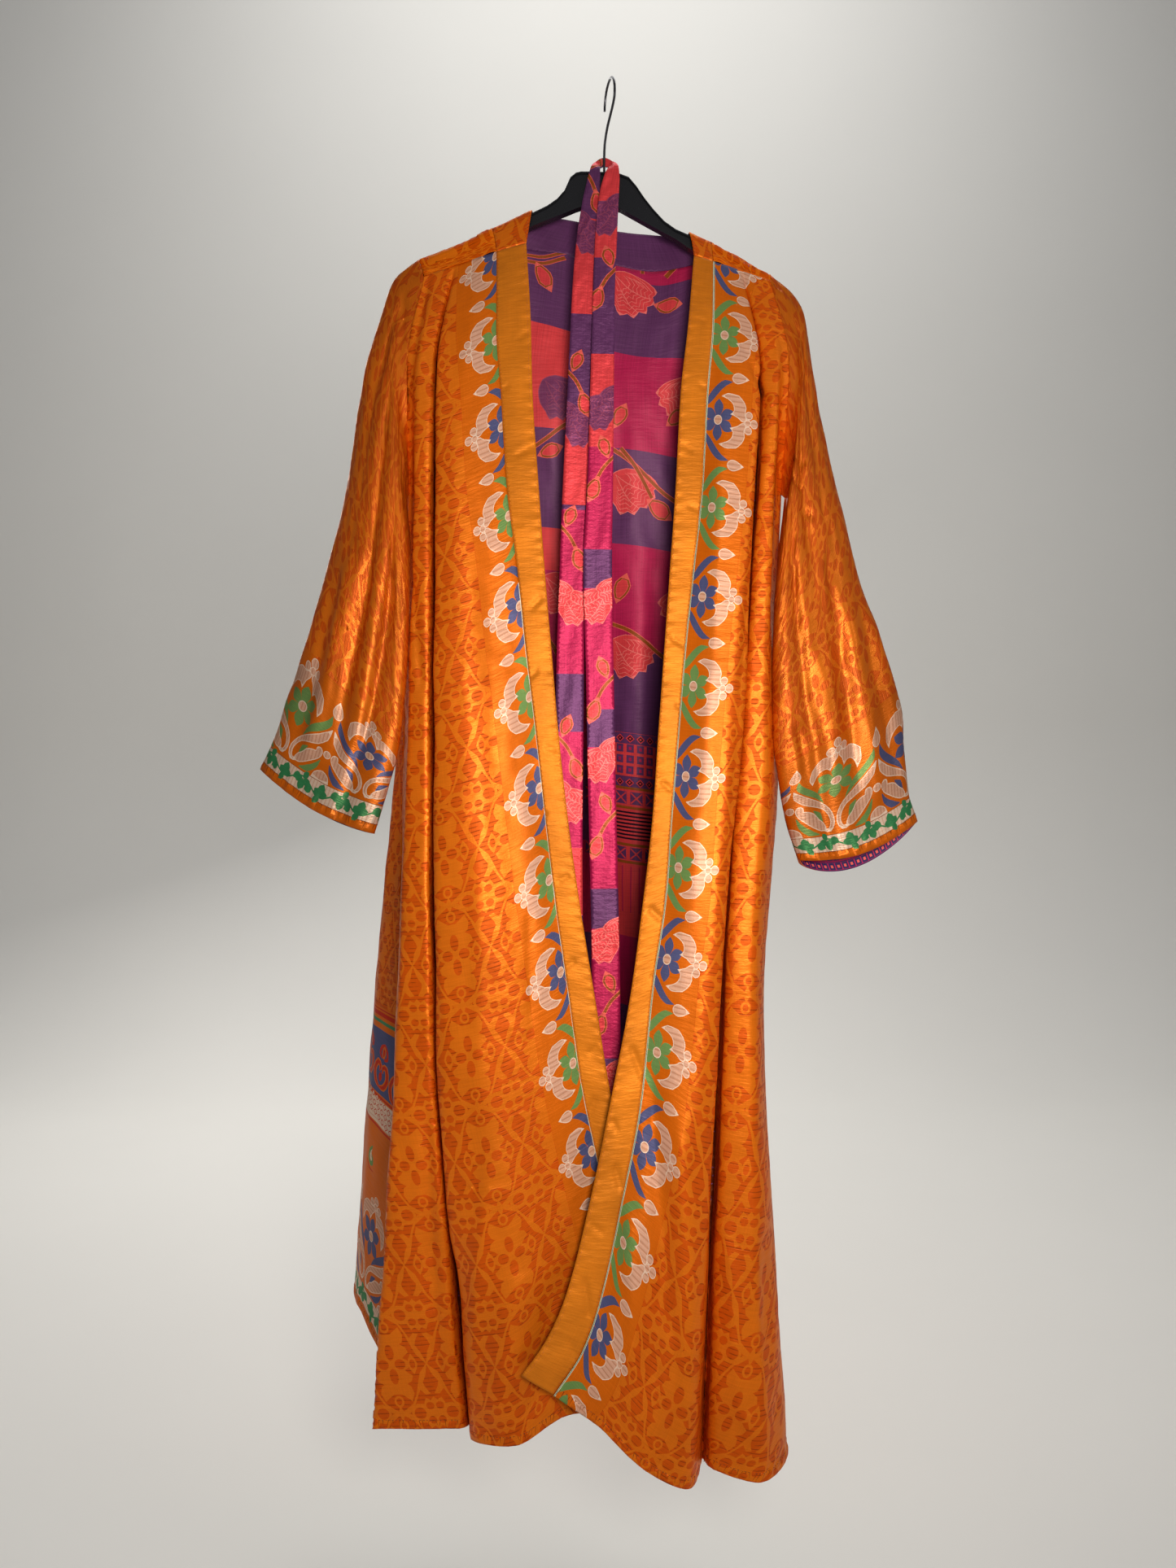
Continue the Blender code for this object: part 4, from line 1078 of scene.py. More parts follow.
# Pitches and lengths in mm; shades and heights say how much each feature darkens or lifts the silk
silkLook = {
    "paintedShadeFactor": 1.0, "roughness": 0.47, "roughSpread": 0.14, "satin": 0.08, "specular": 0.3, "metallic": 0.26,
    "shine": (1.0, 0.66, 0.34), "hatchDye": (196, 138, 108),
    "warpPitch": 0.9, "warpLength": 60.0, "warpShade": 0.2, "warpHeight": 0.07,
    "weftPitch": 1.1, "weftLength": 45.0, "weftShade": 0.26, "weftHeight": 0.14,
    "ribPitch": 4.2, "ribShade": 0.42, "ribHeight": 0.2, "hatchPitch": 5.0, "cloudShade": 0.4,
    "crinkleAcross": 22.0, "crinkleDown": 5.0, "crinkleHeight": 0.85, "bump": 0.65,
}
# the sleeves' silk: its colour darkened to 0.8 as painted shade, with threads, crinkles and gloss of its own
sleeveLook = dict(silkLook, paintedShadeFactor=0.8, roughness=0.42, metallic=0.36, weftShade=0.06, weftHeight=0.02,
                  warpShade=0.3, warpPitch=1.0, warpLength=9.0, warpHeight=0.3, hatchPitch=4.0, specular=0.5,
                  crinkleAcross=2.0, crinkleDown=9.0, crinkleHeight=0.5, ribShade=0.2, cloudShade=0.8)
bandLook = dict(silkLook, roughness=0.46, warpShade=0.16, weftShade=0.42, weftLength=22.0, weftPitch=1.3,
                cloudShade=1.0, crinkleHeight=1.1)
backLook = dict(silkLook, specular=0.04, metallic=0.12)
liningLook = dict(silkLook, roughness=0.5, metallic=0.1, warpShade=0.6, warpPitch=1.2, weftShade=0.5,
                  warpHeight=0.12, cloudShade=0.4, shine=(1.0, 0.7, 0.7))
beltLook = dict(liningLook, roughness=0.44, metallic=0.3,
                crinkleAcross=9.0, crinkleDown=5.0, crinkleHeight=1.2)

orangeSilk = silkMaterial("orange_silk", silkLook)
backSilk = silkMaterial("back_silk", backLook)
sleeveSilk = silkMaterial("sleeve_silk", sleeveLook)
bandSilk = silkMaterial("band_silk", bandLook)
liningSilk = silkMaterial("lining_silk", liningLook)
beltSilk = silkMaterial("belt_silk", beltLook)


def plainMaterial(name, colour, roughness, metallic=0.0, speckle=900.0, spread=0.1, bump=0.15):
    material = bpy.data.materials.new(name)
    material.use_nodes = True
    tree = material.node_tree
    shader = tree.nodes["Principled BSDF"]
    place = addNode(tree, "ShaderNodeTexCoord").outputs["Object"]
    facts = {"Vector": place, "Scale": speckle, "Detail": 3.0}
    grain = addNode(tree, "ShaderNodeTexNoise", facts).outputs[0]
    shade = calculate(tree, "MULTIPLY_ADD", grain, spread, 1 - spread / 2)
    colours = {0: tuple(linear(colour)), "Scale": shade}
    shaded = addNode(tree, "ShaderNodeVectorMath", colours, operation="SCALE")
    tree.links.new(shaded.outputs[0], shader.inputs["Base Color"])
    rough = calculate(tree, "MULTIPLY_ADD", grain, spread, roughness - spread / 2)
    tree.links.new(rough, shader.inputs["Roughness"])
    shader.inputs["Metallic"].default_value = metallic
    dents = addNode(tree, "ShaderNodeBump", {"Height": grain, "Distance": 0.1 * mm, "Strength": bump})
    tree.links.new(dents.outputs[0], shader.inputs["Normal"])
    return material


blackPlastic = plainMaterial("black_plastic", (26, 26, 29), 0.28)
steelWire = plainMaterial("steel_wire", (74, 74, 78), 0.34, metallic=0.85, speckle=400.0)
threadBrown = plainMaterial("brown_thread", (96, 44, 20), 0.6)
threadOrange = plainMaterial("orange_thread", (196, 104, 36), 0.55)
print("materials made")


# Camera and studio

camera = {"place": (-0.0234, -1.3, -0.734), "lens": 28.57, "sensor": 36.0}
light = {
    "key": {"place": (0.14, -1.34, -0.62), "size": 0.16, "power": 62, "colour": (1.0, 0.96, 0.9),
            "cone": 86},
    "fill": {"place": (1.5, -1.3, 0.1), "size": 0.7, "power": 4.5, "colour": (1.0, 0.98, 0.95)},
    "top": {"place": (0.3, 0.2, 1.5), "size": 1.0, "power": 5, "colour": (1.0, 1.0, 1.0)},
    "behind": {"place": (-0.9, 2.6, 0.6), "size": 2.0, "power": 36, "colour": (1.0, 0.98, 0.96)},
    "backdrop": {"place": (0.0, 1.6, 2.6), "size": 2.5, "power": 50, "colour": (1.0, 1.0, 1.0)},
}
stage = {
    "floor": -1.66, "wall": 3.4, "bend": 1.2, "width": 14.0, "front": -6.0, "top": 7.0,
    "robeMiddle": (0, 0, -0.75), "wallMiddle": (0, 3.0, 0.2), "paper": (236, 234, 228),
    "sky": (0.95, 0.96, 1.0, 1.0), "skyPower": 0.16,
}


def aim(obj, target):
    obj.rotation_euler = (Vector(target) - obj.location).to_track_quat("-Z", "Y").to_euler()


def makeStudio():
    data = bpy.data.cameras.new("camera")
    data.sensor_width, data.lens = camera["sensor"], camera["lens"]
    data.clip_start = 0.01
    shot = bpy.data.objects.new("camera", data)
    shot.location = camera["place"]
    shot.rotation_euler = (radians(90), 0, 0)
    bpy.context.scene.collection.objects.link(shot)
    bpy.context.scene.camera = shot
    for name, facts in light.items():
        lamp = bpy.data.lights.new(name, "SPOT" if "cone" in facts else "AREA")
        lamp.energy, lamp.color = facts["power"], facts["colour"]
        if "cone" in facts:
            lamp.spot_size, lamp.spot_blend = radians(facts["cone"]), 1.0
            lamp.shadow_soft_size = facts["size"]
        else:
            lamp.size = facts["size"]
        holder = bpy.data.objects.new(name, lamp)
        holder.location = facts["place"]
        aim(holder, stage["wallMiddle"] if name == "backdrop" else stage["robeMiddle"])
        bpy.context.scene.collection.objects.link(holder)
    world = bpy.data.worlds.new("studio")
    world.use_nodes = True
    sky = world.node_tree.nodes["Background"].inputs
    sky[0].default_value, sky[1].default_value = stage["sky"], stage["skyPower"]
    bpy.context.scene.world = world
    # floor that curves up into a backdrop
    bend, turns = stage["bend"], 12
    profile = [(stage["front"], stage["floor"])]
    profile += [(stage["wall"] - bend + bend * sin(pi / 2 * k / turns),
                 stage["floor"] + bend - bend * cos(pi / 2 * k / turns)) for k in range(turns + 1)]
    profile.append((stage["wall"], stage["top"]))
    half = stage["width"] / 2
    verts = [(x, y, z) for y, z in profile for x in (-half, half)]
    faces = [(2 * k, 2 * k + 1, 2 * k + 3, 2 * k + 2) for k in range(len(profile) - 1)]
    mesh = bpy.data.meshes.new("backdrop")
    mesh.from_pydata(verts, [], faces)
    mesh.shade_smooth()
    paper = plainMaterial("pale_paper", stage["paper"], 0.9, speckle=3.0, spread=0.03, bump=0.0)
    mesh.materials.append(paper)
    backdrop = bpy.data.objects.new("backdrop", mesh)
    bpy.context.scene.collection.objects.link(backdrop)


makeStudio()
bpy.context.scene.view_settings.view_transform = "Standard"
print("camera and lights set")

# Fronts

# Sizes in mm; creases as half width, depth, then x and height of their points
frontRight = {
    # how far down, and where the band seam cuts the border
    "borderSeam": ((0, 57), (300, 56), (620, 53), (800, 49), (1000, 54), (1150, 55)),
    "repeat": 92.3, "squeeze": 0.72, "plainWidth": 41, "firstFlower": 96, "shear": 0.6, "shearLength": 105,
    "selvedge": 0.9, "selvedgeFrom": 350,
    "creases": (
        (4, -2.6, (-181, -266), (-183, -540), (-183, -813), (-172, -992), (-168, -1090)),
        (6, -4.0, (-186, -1040), (-184, -1180), (-178, -1300), (-172, -1385)),
        (3.5, -1.8, (-204, -500), (-198, -580), (-190, -650)),
        (2.6, -1.6, (-162, -1126), (-140, -1134), (-122, -1130), (-104, -1122)),
        (2.2, -0.9, (-83, -850), (-81, -930), (-79, -985)),
        (14, 3.4, (-88, -1200), (-104, -1320), (-125, -1385)),
        (12, -3.2, (-58, -1210), (-66, -1300), (-80, -1370)),
        (10, -3.0, (-150, -1180), (-158, -1280), (-160, -1380)),
        (8, 2.6, (-118, -1080), (-132, -1220), (-140, -1350)),
        (10, -1.6, (-110, -300), (-122, -520), (-118, -760)),
        (4, -2.0, (-186, -198), (-199, -280), (-216, -362)),
        (12, 1.6, (-135, -760), (-128, -1020), (-100, -1240)),
    ),
}
frontLeft = {
    "borderSeam": ((0, 41), (300, 40), (700, 43), (1000, 43), (1250, 44)),
    "repeat": 91.0, "squeeze": 0.76, "plainWidth": 46, "firstFlower": 81, "shear": 0.22, "shearLength": 120,
    "selvedge": 1.8, "selvedgeFrom": -5,
    "creases": (
        (4, -3.0, (118, -250), (157, -339), (143, -485), (125, -682)),
        (4, -2.6, (133, -600), (118, -800), (112, -926), (104, -1120), (97, -1300)),
        (7, 2.4, (116, -1163), (121, -1260), (127, -1351), (158, -1411)),
        (11, -5.5, (40, -990), (45, -1110), (51, -1210), (42, -1300), (34, -1375)),
        (10, 3.5, (66, -1040), (72, -1160), (75, -1270), (66, -1380)),
        (9, 2.6, (14, -1130), (22, -1240), (18, -1340)),
        (7, -3.0, (58, -1230), (62, -1320), (54, -1400)),
        (9, -3.2, (150, -1150), (158, -1300), (166, -1400)),
        (4, -1.4, (36, -1000), (42, -1110)),
        (5, -1.6, (178, -300), (172, -450), (166, -600)),
    ),
}
hem = {"turn": 8.5, "rise": 0.4, "step": 1.5, "pucker": 0.6, "puckerWave": 11.0, "puckerHigh": 7.0}
# Deep fold of a front: its guide, the half width of the painted shadow along its bottom, how far the inner
# side keeps off (mm)
deepFold = {"guide": 4.0, "darkHalf": 4.5, "uneven": 1.5, "clear": 3.0, "clearFrom": 3.9, "clearOver": 0.9}
# Inside a front: how far the orange cloth is turned over, and how far from the side it begins (mm)
turnedEdge = {"wide": 24, "inset": 0.8}


def hemRelief(u, w, length):
    up = (w - (length - hem["turn"] * mm)) / mm
    inside = np.clip(up / hem["step"], 0, 1)
    pucker = np.sin(2 * pi * u / (hem["puckerWave"] * mm)) * np.exp(-(up / hem["puckerHigh"]) ** 2)
    return hem["rise"] * mm * inside + hem["pucker"] * mm * pucker


def makeFront(name, table, edge, facts, turned):
    layout = layOut(frontSurface(table, edge), (0, len(table)), (0, 1), 0)
    length, widest = layout["length"] / mm, layout["widest"] / mm

    def shear(u):
        return facts["shear"] * facts["shearLength"] * mm * (1 - np.exp(-u / (facts["shearLength"] * mm)))

    def slanted(outline):
        return np.stack([outline[:, 0], outline[:, 1] + shear(outline[:, 0] * mm) / mm], axis=1)

    downs, cuts = zip(*facts["borderSeam"])
    shapes = [(kind, slanted(points)) for kind, points in damaskField(
        (facts["plainWidth"], -130), (widest + 10, length + 20))]
    scale = facts["repeat"] / border["repeat"]
    for kind, points in sariBorder(-60, length / scale + 60, facts["firstFlower"] / scale, full=False):
        down = points[:, 0] * scale
        aside = (points[:, 1] - np.interp(down, downs, cuts)) * facts["squeeze"]
        shapes.append((kind, slanted(np.stack([aside, down], axis=1))))
    edge, bottom = facts["selvedge"], length + 5
    shapes.append(("selvedge", box((0, facts["selvedgeFrom"]), (edge, bottom))))
    if edge > 1:
        shapes.append(("selvedgeGreen", box((edge * 0.4, -5), (edge * 0.75, bottom))))
    # painted shadows of the hem's puckers
    shapes += puckerShadows(-5, widest + 5, length - hem["turn"], length)
    # a darker dye stands in for the shadow at the bottom of the deep fold
    guide = deepFold["guide"]
    fold = [(np.interp(guide, layout["ats"], layout["across"][j]) / mm, layout["down"][j] / mm)
            for j in range(12, len(layout["vs"]) - 6, 6)]
    halves = [deepFold["darkHalf"] + deepFold["uneven"] * sin(k / 3) for k in range(len(fold) - 2)]
    shapes.append(("foldDark", stroke(fold, [0.5] + halves + [0.5], 1)))

    def relief(u, w, place, at, v):
        fromBand = np.clip(u / (12 * mm), 0, 1)
        return (creaseRelief(facts["creases"], place[:, 0], place[:, 2]) * fromBand
                + ripple(u, w * 0.35, 0.7, 55, 3) * fromBand + ripple(u, w, 0.15, 20, 4, 1.2)
                + hemRelief(u, w, layout["length"]))

    def deeper(lift, at, v):
        # how much further in the inner side lies, so that it doesn't come through the sharp folds
        fold = np.exp(-((at - deepFold["clearFrom"]) / deepFold["clearOver"]) ** 2)
        fold *= np.clip((1 - v) / 0.03, 0, 1) * np.clip(v / 0.05, 0, 1)
        return 0.4 * np.abs(lift) + deepFold["clear"] * mm * fold
    # inside, the orange cloth is turned over along the side
    downSide = np.linspace(2, length - 2, 60)
    sideU = endsAt(layout, downSide * mm)[1] / mm
    inEdge, outEdge = [np.stack([sideU - turnedEdge[key], downSide], axis=1) for key in ("wide", "inset")]
    inside = [("plain", np.concatenate([inEdge, outEdge[::-1]]))]
    piece = cutCloth(
        name, layout, shapes, relief, turned, (orangeSilk, liningSilk), shear=shear, inside=inside,
        sides=(1.25, -0.3), deeper=deeper, spacing=3.8)
    return piece, layout


frontRightPiece, frontRightFlat = makeFront("frontRight", rightFront, rightEdge, frontRight, False)
frontLeftPiece, frontLeftFlat = makeFront("frontLeft", leftFront, leftEdge, frontLeft, True)

# Bands and neck band

band = {
    "crown": 0.5, "pucker": 0.5, "puckerWave": 13.0,
    # dents: half width, depth, then across from the free edge and down, of both ends
    "right": (
        (2.2, -1.0, (3, 96), (16, 104)), (2.0, -0.9, (22, 150), (34, 158)),
        (2.4, -1.2, (6, 221), (24, 228)), (2.0, -1.0, (18, 300), (33, 296)),
        (2.6, -1.3, (4, 372), (20, 388)), (2.2, -1.2, (14, 446), (32, 462)),
        (2.2, -1.0, (3, 530), (17, 524)), (2.6, -1.4, (20, 588), (34, 610)),
        (2.2, -1.1, (5, 655), (22, 664)), (2.6, -1.3, (12, 742), (31, 756)),
        (2.2, -1.2, (4, 828), (18, 842)), (3.0, -1.5, (16, 884), (33, 912)),
        (2.4, -1.3, (5, 962), (20, 985)), (2.6, -1.5, (18, 1030), (33, 1046)),
        (2.4, -1.2, (6, 1102), (22, 1118)),
    ),
    "left": (
        (2.2, -1.0, (4, 70), (20, 76)), (2.2, -1.1, (16, 142), (34, 150)),
        (2.0, -1.0, (5, 204), (16, 214)), (2.4, -1.2, (12, 268), (30, 274)),
        (2.2, -1.1, (20, 335), (34, 346)), (2.6, -1.4, (4, 402), (24, 414)),
        (2.2, -1.1, (14, 470), (30, 480)), (2.6, -1.3, (5, 548), (19, 560)),
        (2.4, -1.3, (20, 606), (34, 624)), (3.0, -1.7, (6, 676), (28, 700)),
        (2.4, -1.3, (18, 748), (33, 760)), (3.0, -1.8, (8, 812), (34, 858)),
        (2.4, -1.4, (4, 884), (14, 902)), (2.8, -1.7, (16, 930), (30, 962)),
        (2.4, -1.3, (5, 990), (22, 1000)), (3.2, -1.9, (10, 1038), (31, 1082)),
        (2.6, -1.4, (20, 1100), (34, 1118)),
    ),
}


def makeBand(name, edge, dents, turned):
    layout = layOut(bandSurface(edge), (0, 1), (0, 1), 0)

    def relief(u, w, place, at, v):
        share = u / layout["width"]
        pucker = np.sin(2 * pi * w / (band["puckerWave"] * mm) + 2 * np.sin(w / (60 * mm)))
        pucker *= np.exp(-(share / 0.25) ** 2)
        return (band["crown"] * mm * (1 - (2 * share - 1) ** 2) + band["pucker"] * mm * pucker
                + ripple(u, w, 0.35, 34, 7, 0.6) + creaseRelief(dents, u, w))
    piece = cutCloth(name, layout, [], relief, turned, (bandSilk, liningSilk), ground="ochre", spacing=2.5)
    return piece, layout


bandRightPiece, bandRightFlat = makeBand("bandRight", rightEdge, band["right"], False)
bandLeftPiece, bandLeftFlat = makeBand("bandLeft", leftEdge, band["left"], True)


def makeNeckBand():
    layout = layOut(neckSurface(), (0, 1), (0, 1), 0)
    shapes = damaskField((-20, -20), (60, layout["length"] / mm + 20))

    def relief(u, w, place, at, v):
        return ripple(u, w, 0.25, 24, 9)
    piece = cutCloth("neckBand", layout, shapes, relief, True, (orangeSilk, liningSilk), spacing=3.2)
    return piece, layout


neckPiece, neckFlat = makeNeckBand()

# Back and its lining

back = {
    "scale": 1.12, "firstFlower": 110, "damaskEnds": 352,
    # how the drape pulls the woven lines: how steeply, over what width, and by how much it lifts them (mm)
    "pull": 0.2, "pullOver": 150, "lift": 24, "liftFrom": 40, "liftOver": 120,
    "creases": (
        (16, -3.0, (-160, -330), (-170, -700), (-190, -1150), (-200, -1330)),
        (14, 2.5, (-110, -420), (-120, -800), (-138, -1200)),
        (14, -2.6, (-50, -380), (-60, -760), (-72, -1180)),
        (14, 2.4, (40, -300), (52, -640), (50, -1000)),
        (14, -2.6, (96, -420), (92, -860), (95, -1300)),
        (8, 1.6, (0, -560), (6, -900), (0, -1260)),
    ),
}


def backNotch(layout):
    # The neck is cut out between the two crests, above the nape
    napeW = float(np.interp(napeV, layout["vs"], layout["down"]))

    def crestX(guide, w):
        row = float(np.interp(w, layout["down"], np.arange(len(layout["vs"]))))
        j = min(int(row), len(layout["vs"]) - 2)
        line = layout["across"][j] * (1 - row + j) + layout["across"][j + 1] * (row - j)
        share = (np.interp(guide, layout["ats"], line) - line[0]) / (line[-1] - line[0])
        return float(share) * layout["width"]

    def outline(edgeX, edgeW):
        gap = cloth["seamGap"] * mm / 2
        downs = np.linspace(0, napeW, 14)
        first = [(crestX(neckFirst, w) - gap, w) for w in downs]
        last = [(crestX(neckLast, w) + gap, w) for w in downs[::-1]]
        low, high = first[0][0], last[-1][0]
        side = layout["width"] - gap
        top = [(x, 0.0) for x in edgeX if gap < x < low - 2 * mm]
        farTop = [(x, 0.0) for x in edgeX if high + 2 * mm < x < side]
        nape = [(x, napeW + gap) for x in edgeX if first[-1][0] + mm < x < last[0][0] - mm]
        return ([(gap, 0.0)] + top + first + nape + last + farTop + [(side, w) for w in edgeW[:-1]]
                + [(x, layout["length"]) for x in np.clip(edgeX, gap, side)[::-1][:-1]]
                + [(gap, w) for w in edgeW[::-1][:-1]])
    return outline


def backCreases(place):
    low = np.clip((-place[:, 2] - 0.26) / 0.15, 0, 1)
    return creaseRelief(back["creases"], place[:, 0], place[:, 2]) * low


def makeBack():
    layout = layOut(backSurface, (0, len(backLines) - 1), (0, 1), backMiddle)
    length = layout["length"] / mm
    left, right = layout["left"].min() / mm - 10, layout["right"].max() / mm + 10
    scale = back["scale"]
    hemTop = length - hem["turn"]
    stripTop = hemTop - border["stripHeight"] * scale

    def sideU(w):
        return endsAt(layout, w * mm)[0] / mm
    shapes = damaskField((left, -10), (right, stripTop - back["damaskEnds"]))
    for kind, points in sariBorder(left / scale, right / scale, back["firstFlower"]):
        shapes.append((kind, np.stack([points[:, 0] * scale, stripTop - points[:, 1] * scale], axis=1)))
    shapes += endBands(left, right, stripTop)

    def pulled(points):
        # The drape pulls the woven lines down towards the right side, and lifts the bands
        across, down = points[:, 0], points[:, 1]
        over = back["pullOver"]
        tilt = back["pull"] * np.clip(sideU(down) + over - across, 0, over)
        tilt *= np.clip((stripTop - down) / over, 0, 1)
        lift = back["lift"] * np.clip((stripTop + back["liftFrom"] - down) / back["liftOver"], 0, 1)
        return np.stack([across, down + tilt - lift], axis=1)
    shapes = [(kind, pulled(points)) for kind, points in shapes]
    # painted shadows of the hem's puckers
    shapes += puckerShadows(left, right, hemTop, length)

    def relief(u, w, place, at, v):
        return backCreases(place) + ripple(u, w, 0.4, 60, 13, 1.5) + hemRelief(u, w, layout["length"])
    piece = cutCloth("backPanel", layout, shapes, relief, False, (backSilk, liningSilk),
                     notch=backNotch(layout), spacing=5.5, fine=(0.075, 0.0023))
    return piece, layout


def endBands(left, right, stripTop):
    # Bands of the cloth's woven end, above the border: heights are up from the vine strip (mm)
    strips = (
        ("red", 341, 346), ("red", 348, 349.5), ("selvedgeGreen", 333, 337), ("red", 212, 214.5),
        ("stripWhite", 216, 246), ("red", 247.5, 250), ("blue", 252, 326))
    shapes = [(kind, box((left, stripTop - high), (right, stripTop - low))) for kind, low, high in strips]
    # small lozenges in the white band
    for x in np.arange(left, right, 11.0):
        for row, low in enumerate((216, 226, 236)):
            centre = x + (5.5 if row % 2 else 0)
            for kind, half in (("red", 4.4), ("stripWhite", 3)):
                shapes.append((kind, lozenge(centre, stripTop - low - 5, half)))
    # hearts with two curls in the blue band
    heart = ((0, -14), (11, -10), (17, 2), (11, 14), (3, 12), (4, 5))
    curl = ((0, 40), (8, 34), (10, 26), (3, 22))
    for x in np.arange(left, right, 44.0):
        y = stripTop - 270
        for sign in (1, -1):
            for kind, line, halves in (("plain", heart, (1.6, 4.4, 5.0, 4.4, 3.4, 1.4)),
                                       ("red", heart, (0.9, 2.4, 2.8, 2.4, 1.8, 0.8)),
                                       ("red", curl, (1.2, 2.6, 2.6, 1.2))):
                shapes.append((kind, stroke(placed(line, x, y, sign, -1), halves, 2)))
        shapes.append(("plain", oval(x, y - 30, 5, 8, 10)))
        shapes.append(("red", oval(x, y - 30, 2.6, 5, 8)))
        shapes.append(("red", oval(x, y + 1, 4, 6, 8)))
    # crescents with a stalk between the bands
    outer = ((0, -16, 1), (9, -6), (9, 6), (0, 12), (-8, 6), (-5, -2), (1, -4))
    inner = ((1, -10, 1), (5, -4), (5, 3), (0, 6), (-3, 2), (1, -3))
    for x in np.arange(left, right, 62.0):
        y = stripTop - 163
        shapes.append(("green", roundOff(placed(outer, x, y), 2)))
        shapes.append(("stripWhite", roundOff(placed(inner, x, y), 2)))
        shapes.append(("red", stroke(placed(((-10, 14), (2, 17), (12, 10)), x, y), (0.6, 1.3, 0.6), 2)))
    return shapes


backPiece, backFlat = makeBack()

# Lining of the back: woven blocks, tulips and a geometric end (x and height in mm, as seen from the front)
lining = {
    # guides at both sides, and the row at which it ends
    "guides": (4, 10), "low": 0.92,
    # woven blocks from x to x, the slope and the x where the heights hold, then dyes with their top heights
    "right": {
        "sides": (-20, 240), "tilt": -0.155, "pivot": 2.4,
        "blocks": (("crimson", -120), ("plum", -182), ("crimson", -268), ("plum", -371), ("crimson", -470),
                   ("plum", -580), ("coral", -674), ("crimson", -905), ("plum", -985), ("coral", -1075),
                   ("crimson", -1180), ("plum", -1280), ("crimson", -1400)),
    },
    "left": {
        "sides": (-260, -20), "tilt": -0.1, "pivot": -38,
        "blocks": (("plum", -120), ("plum", -165), ("coral", -254), ("plum", -354), ("coral", -458),
                   ("crimson", -503), ("plum", -705), ("crimson", -797), ("plum", -905), ("coral", -960),
                   ("crimson", -1080), ("plum", -1200), ("coral", -1400)),
    },
    "end": {"sides": (-20, 170), "top": -674, "tilt": -0.155},
    "seam": ((-260, -140), (-20, -163), (-20, -167), (-260, -144)),
    # points and half width, then x, height, length and angle in degrees
    "napeStems": ((((55, -122), (46, -142), (36, -160), (35, -178)), 1.7),
                  (((110, -130), (84, -160), (60, -182)), 2.4)),
    "napeLeaves": ((36, -158, 30, 140), (38, -156, 30, 48)),
    # x, height, size, 1 or -1 for its lean, and its colours
    "tulips": (
        (4, -182, 1.0, 1, "coral"), (6, -396, 1.0, 1, "coral"), (6, -572, 1.0, 1, "coral"),
        (-70, -300, 0.95, 1, "plum"), (-70, -505, 0.95, 1, "coral"), (-86, -138, 0.8, -1, "coral"),
        (96, -300, 1.0, -1, "coral"), (100, -520, 1.0, -1, "coral"), (-104, -420, 1.0, -1, "plum"),
        (-60, -690, 0.9, 1, "plum"), (40, -1000, 1.0, 1, "coral"), (-60, -1010, 1.0, -1, "coral"),
        (30, -1150, 1.0, 1, "plum"), (-50, -1210, 1.0, -1, "coral"),
    ),
    "stems": (
        ((2, -372), (20, -384), (40, -402), (60, -420), (86, -436)), ((12, -372), (28, -392), (46, -424)),
        ((-90, -184), (-70, -182), (-50, -174), (-36, -168)), ((-90, -192), (-70, -190), (-48, -180)),
        ((-84, -372), (-68, -362), (-52, -350), (-38, -342)), ((2, -556), (24, -566), (50, -586), (74, -606)),
        ((-80, -560), (-66, -575), (-52, -604), (-40, -640)), ((-84, -660), (-66, -668), (-48, -700)),
    ),
    "leaves": (
        (4, -352, 30, 62), (-80, -190, 34, -60), (8, -535, 34, 70), (40, -425, 36, -38),
        (-78, -380, 30, 20), (-58, -640, 34, -70), (46, -210, 34, -20), (60, -350, 30, 40),
    ),
}
# Head and line dyes of the two sorts of tulip
tulipDyes = {"coral": ("coral", "tulipLine"), "plum": ("plumHead", "plumLine")}


def tulip(x, z, size, lean, head, line):
    # Nodding tulip hung at x and z, with fine lines that follow its petals; lean mirrors it
    def hung(points):
        return [(x + lean * across * size, z - down * size) for across, down in points]
    outline = (
        (0, 0), (12, -3), (26, 0), (38, 5), (47, 15), (42, 20), (44, 28), (36, 31), (35, 39), (27, 38),
        (21, 46), (14, 42), (6, 45), (1, 36), (-5, 27), (-7, 14), (-4, 4))
    shapes = [(line, roundOff(hung(outline), 2))]
    shapes.append((head, shrink(shapes[0][1], 0.8)))
    for k, share in enumerate((0.88, 0.77, 0.66, 0.55, 0.44, 0.33)):
        arc = [(3 + (across - 3) * share, 5 + (down - 5) * share + 1.5 * sin(i + k))
               for i, (across, down) in enumerate(outline[2:14])]
        shapes.append((line, stroke(hung(arc), [0.15] + [0.4] * 10 + [0.15], 1)))
    for vein in (((1, 3), (14, 13), (30, 20), (41, 22)), ((1, 3), (9, 20), (17, 32), (26, 39))):
        shapes.append((line, stroke(hung(vein), (0.3, 0.5, 0.5, 0.3), 2)))
    return shapes


def leafLoop(x, z, length, turn):
    # A pointed leaf with a double outline; turn is its angle
    c, s, wide = cos(turn), sin(turn), 0.26
    base = [(0, 0, 1), (length * 0.3, length * wide * 0.8), (length * 0.65, length * wide), (length, 0, 1),
            (length * 0.65, -length * wide), (length * 0.3, -length * wide * 0.8)]
    outer = roundOff([(x + p[0] * c - p[1] * s, z + p[0] * s + p[1] * c) + tuple(p[2:]) for p in base], 2)
    return [("pinkEdge", outer), ("brown", shrink(outer, 0.8)), ("pinkEdge", shrink(outer, 2.6)),
            ("coral", shrink(outer, 3.2))]


def stem(points, half=1.7):
    return [("pinkEdge", stroke(points, [half + 0.7] * len(points), 3)),
            ("brown", stroke(points, [half] * len(points), 3))]


